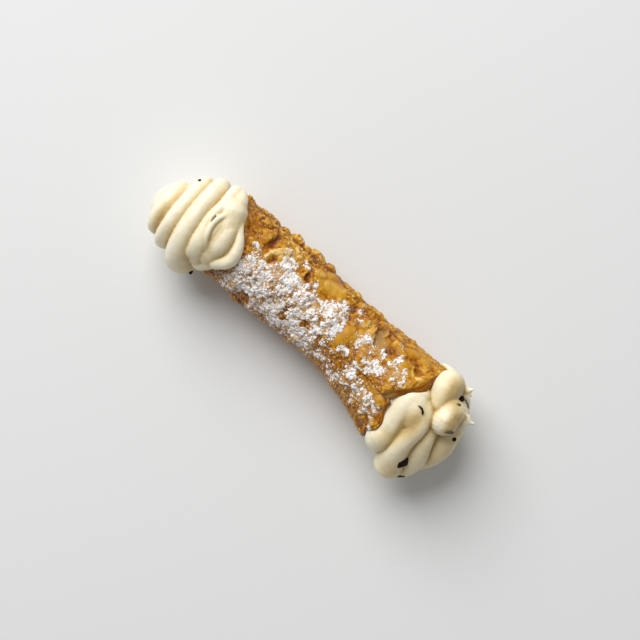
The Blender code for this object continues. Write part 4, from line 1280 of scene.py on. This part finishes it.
def crust_material():
    material, tree, shader = new_material("fried dough")
    bubbles = sum_of(tree, cells(tree, 1.7), cells(tree, 0.85), 0.5, -0.75)
    bubbles = product(tree, bubbles, value_of(tree, "rough"))
    tone = sum_of(tree, value_of(tree, "tone"), noise(tree, 1.1), 0.8, -0.3)
    # painted highlight and shade: the cells' middles paler, the gaps between them darker
    tone = sum_of(tree, tone, bubbles, 1.1)
    browned = ramp(tree, mapped(tree, tone, -1.3, 1.3), (
        (0.0, srgb(112, 55, 3)),
        (0.2, srgb(144, 81, 4)),
        (0.4, srgb(173, 109, 6)),
        (0.58, srgb(192, 133, 14)),
        (0.78, srgb(211, 157, 42)),
        (1.0, srgb(232, 197, 124)),
    ))
    tanned = mixed(tree, value_of(tree, "tan"), browned, srgb(178, 143, 88))
    veiled = mapped(tree, value_of(tree, "veil"), 0.1, 0.9, 0.0, 0.4)
    dusted = mixed(tree, veiled, tanned, srgb(204, 164, 92))
    dust = sum_of(tree, value_of(tree, "veil"), bubbles, 0.55)
    dust = sum_of(tree, dust, noise(tree, 0.5, 4.0, 0.65), 1.8, -1.0)
    powdered = mixed(tree, mapped(tree, dust, 0.55, 0.85, 0.0, 0.7), dusted, srgb(238, 220, 194))
    tree.links.new(powdered, shader.inputs["Base Color"])
    tree.links.new(mapped(tree, dust, 0.2, 0.7, 0.34, 0.8), shader.inputs["Roughness"])
    set_inputs(shader, Specular_IOR_Level=0.3, Subsurface_Weight=0.06)
    set_inputs(shader, Subsurface_Radius=(1.0, 0.45, 0.15), Subsurface_Scale=0.001)
    bump(tree, shader, sum_of(tree, bubbles, noise(tree, 0.35), 0.4), 0.3, 0.8)
    return material


def sugar_material():
    material, tree, shader = new_material("powdered sugar")
    # painted shade: low sugar in the crevices is painted tan, partly also the crust seen through thin sugar
    shade = sum_of(tree, value_of(tree, "height"), noise(tree, 0.5), 0.6, -0.3)
    white = ramp(tree, mapped(tree, shade, -0.15, 0.55), (
        (0.0, srgb(196, 166, 134)),
        (0.25, srgb(234, 222, 214)),
        (0.5, srgb(250, 247, 247)),
        (1.0, srgb(254, 254, 255)),
    ))
    tree.links.new(white, shader.inputs["Base Color"])
    set_inputs(shader, Roughness=0.9, Specular_IOR_Level=0.25)
    bump(tree, shader, noise(tree, 0.25, 4.0, 0.7), 0.2)
    return material


def cream_material():
    material, tree, shader = new_material("ricotta cream")
    # painted shade: darker and yellower in hollows, on the sides away from -X and at the listed places
    hollow_shade = sum_of(tree, value_of(tree, "hollow_shade"), noise(tree, 4.0), 0.8, -0.4)
    pale = ramp(tree, mapped(tree, hollow_shade, -0.9, 1.1), (
        (0.0, srgb(253, 246, 224)),
        (0.3, srgb(250, 238, 206)),
        (0.6, srgb(234, 214, 166)),
        (1.0, srgb(200, 172, 114)),
    ))
    # painted shade in the fine creases
    crease_shade = sum_of(tree, value_of(tree, "crease_shade"), noise(tree, 1.0), 0.06, -0.03)
    crease_shaded = mixed(tree, mapped(tree, crease_shade, 0.03, 0.15, 0.0, 0.85), pale, srgb(186, 148, 82))
    mottles = mapped(tree, noise(tree, 5.0, 4.0), 0.45, 0.72, 0.0, 0.35)
    mottled = mixed(tree, mottles, crease_shaded, srgb(228, 208, 158))
    tree.links.new(mottled, shader.inputs["Base Color"])
    tree.links.new(mapped(tree, noise(tree, 3.0), 0.3, 0.7, 0.34, 0.5), shader.inputs["Roughness"])
    set_inputs(shader, Subsurface_Weight=0.1, Subsurface_Radius=(1.0, 0.6, 0.3), Subsurface_Scale=0.0015)
    bump(tree, shader, sum_of(tree, noise(tree, 1.2), noise(tree, 0.4), 0.4), 0.2, 0.7)
    return material


def chip_material():
    material, tree, shader = new_material("chocolate")
    dark = ramp(tree, mapped(tree, noise(tree, 0.7), 0.3, 0.7), (
        (0.0, srgb(16, 6, 5)),
        (0.6, srgb(28, 11, 9)),
        (1.0, srgb(50, 24, 18)),
    ))
    film = sum_of(tree, value_of(tree, "film"), noise(tree, 0.8), 0.8, -0.4)
    filmed = mixed(tree, mapped(tree, film, 0.05, 0.9, 0.0, 0.9), dark, srgb(168, 162, 138))
    tree.links.new(filmed, shader.inputs["Base Color"])
    tree.links.new(mapped(tree, noise(tree, 0.5), 0.3, 0.7, 0.45, 0.7), shader.inputs["Roughness"])
    set_inputs(shader, Specular_IOR_Level=0.15)
    bump(tree, shader, noise(tree, 0.35), 0.08)
    return material


def add_camera():
    camera = bpy.data.objects.new("camera", bpy.data.cameras.new("camera"))
    camera.location = Vector((AIM_X, AIM_Y, AIM_Z + CAMERA_RISE)) * MM
    camera.rotation_euler = (0.0, 0.0, CAMERA_TURN)
    camera.data.sensor_width = SENSOR
    camera.data.lens = SENSOR * CAMERA_RISE / (PIXEL * PHOTO_PIXELS)
    camera.data.clip_start = 0.01
    bpy.context.scene.collection.objects.link(camera)
    bpy.context.scene.camera = camera


def add_light():
    turn = CAMERA_TURN + KEY_TURN
    level = math.cos(KEY_RISE)
    away = Vector((level * math.cos(turn), level * math.sin(turn), math.sin(KEY_RISE)))
    key = bpy.data.objects.new("key", bpy.data.lights.new("key", "AREA"))
    key.data.shape = "DISK"
    key.data.size = KEY_SIDE
    key.data.energy = KEY_POWER
    key.data.color = KEY_COLOUR
    key.location = away * KEY_AWAY
    key.rotation_euler = away.to_track_quat("Z", "Y").to_euler()
    bpy.context.scene.collection.objects.link(key)
    world = bpy.data.worlds.new("studio")
    world.use_nodes = True
    set_inputs(world.node_tree.nodes["Background"], Color=SKY_COLOUR, Strength=SKY_STRENGTH)
    bpy.context.scene.world = world
    bpy.context.scene.view_settings.view_transform = "Standard"


def add_floor():
    bpy.ops.mesh.primitive_plane_add(size=FLOOR_SIDE, location=(0.0, 0.0, -0.0001))
    floor = bpy.context.object
    floor.name = "floor"
    material, _, shader = new_material("pale floor")
    set_inputs(shader, Base_Color=srgb(234, 236, 238), Roughness=0.6)
    floor.data.materials.append(material)


add_camera()
add_light()
add_floor()
crust = Crust()
pastry = build_pastry(crust)
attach(pastry, "root")
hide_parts("shell")
heap = sugar_heap(crust)
sugar = build_sugar(heap)
grains = build_grains(heap)
for piece in (sugar, grains):
    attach(piece, "root")
cream = build_cream()
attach(cream, "root")
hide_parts("filling")
chips = build_chips(cream)
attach(chips, "root")
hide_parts("filling")
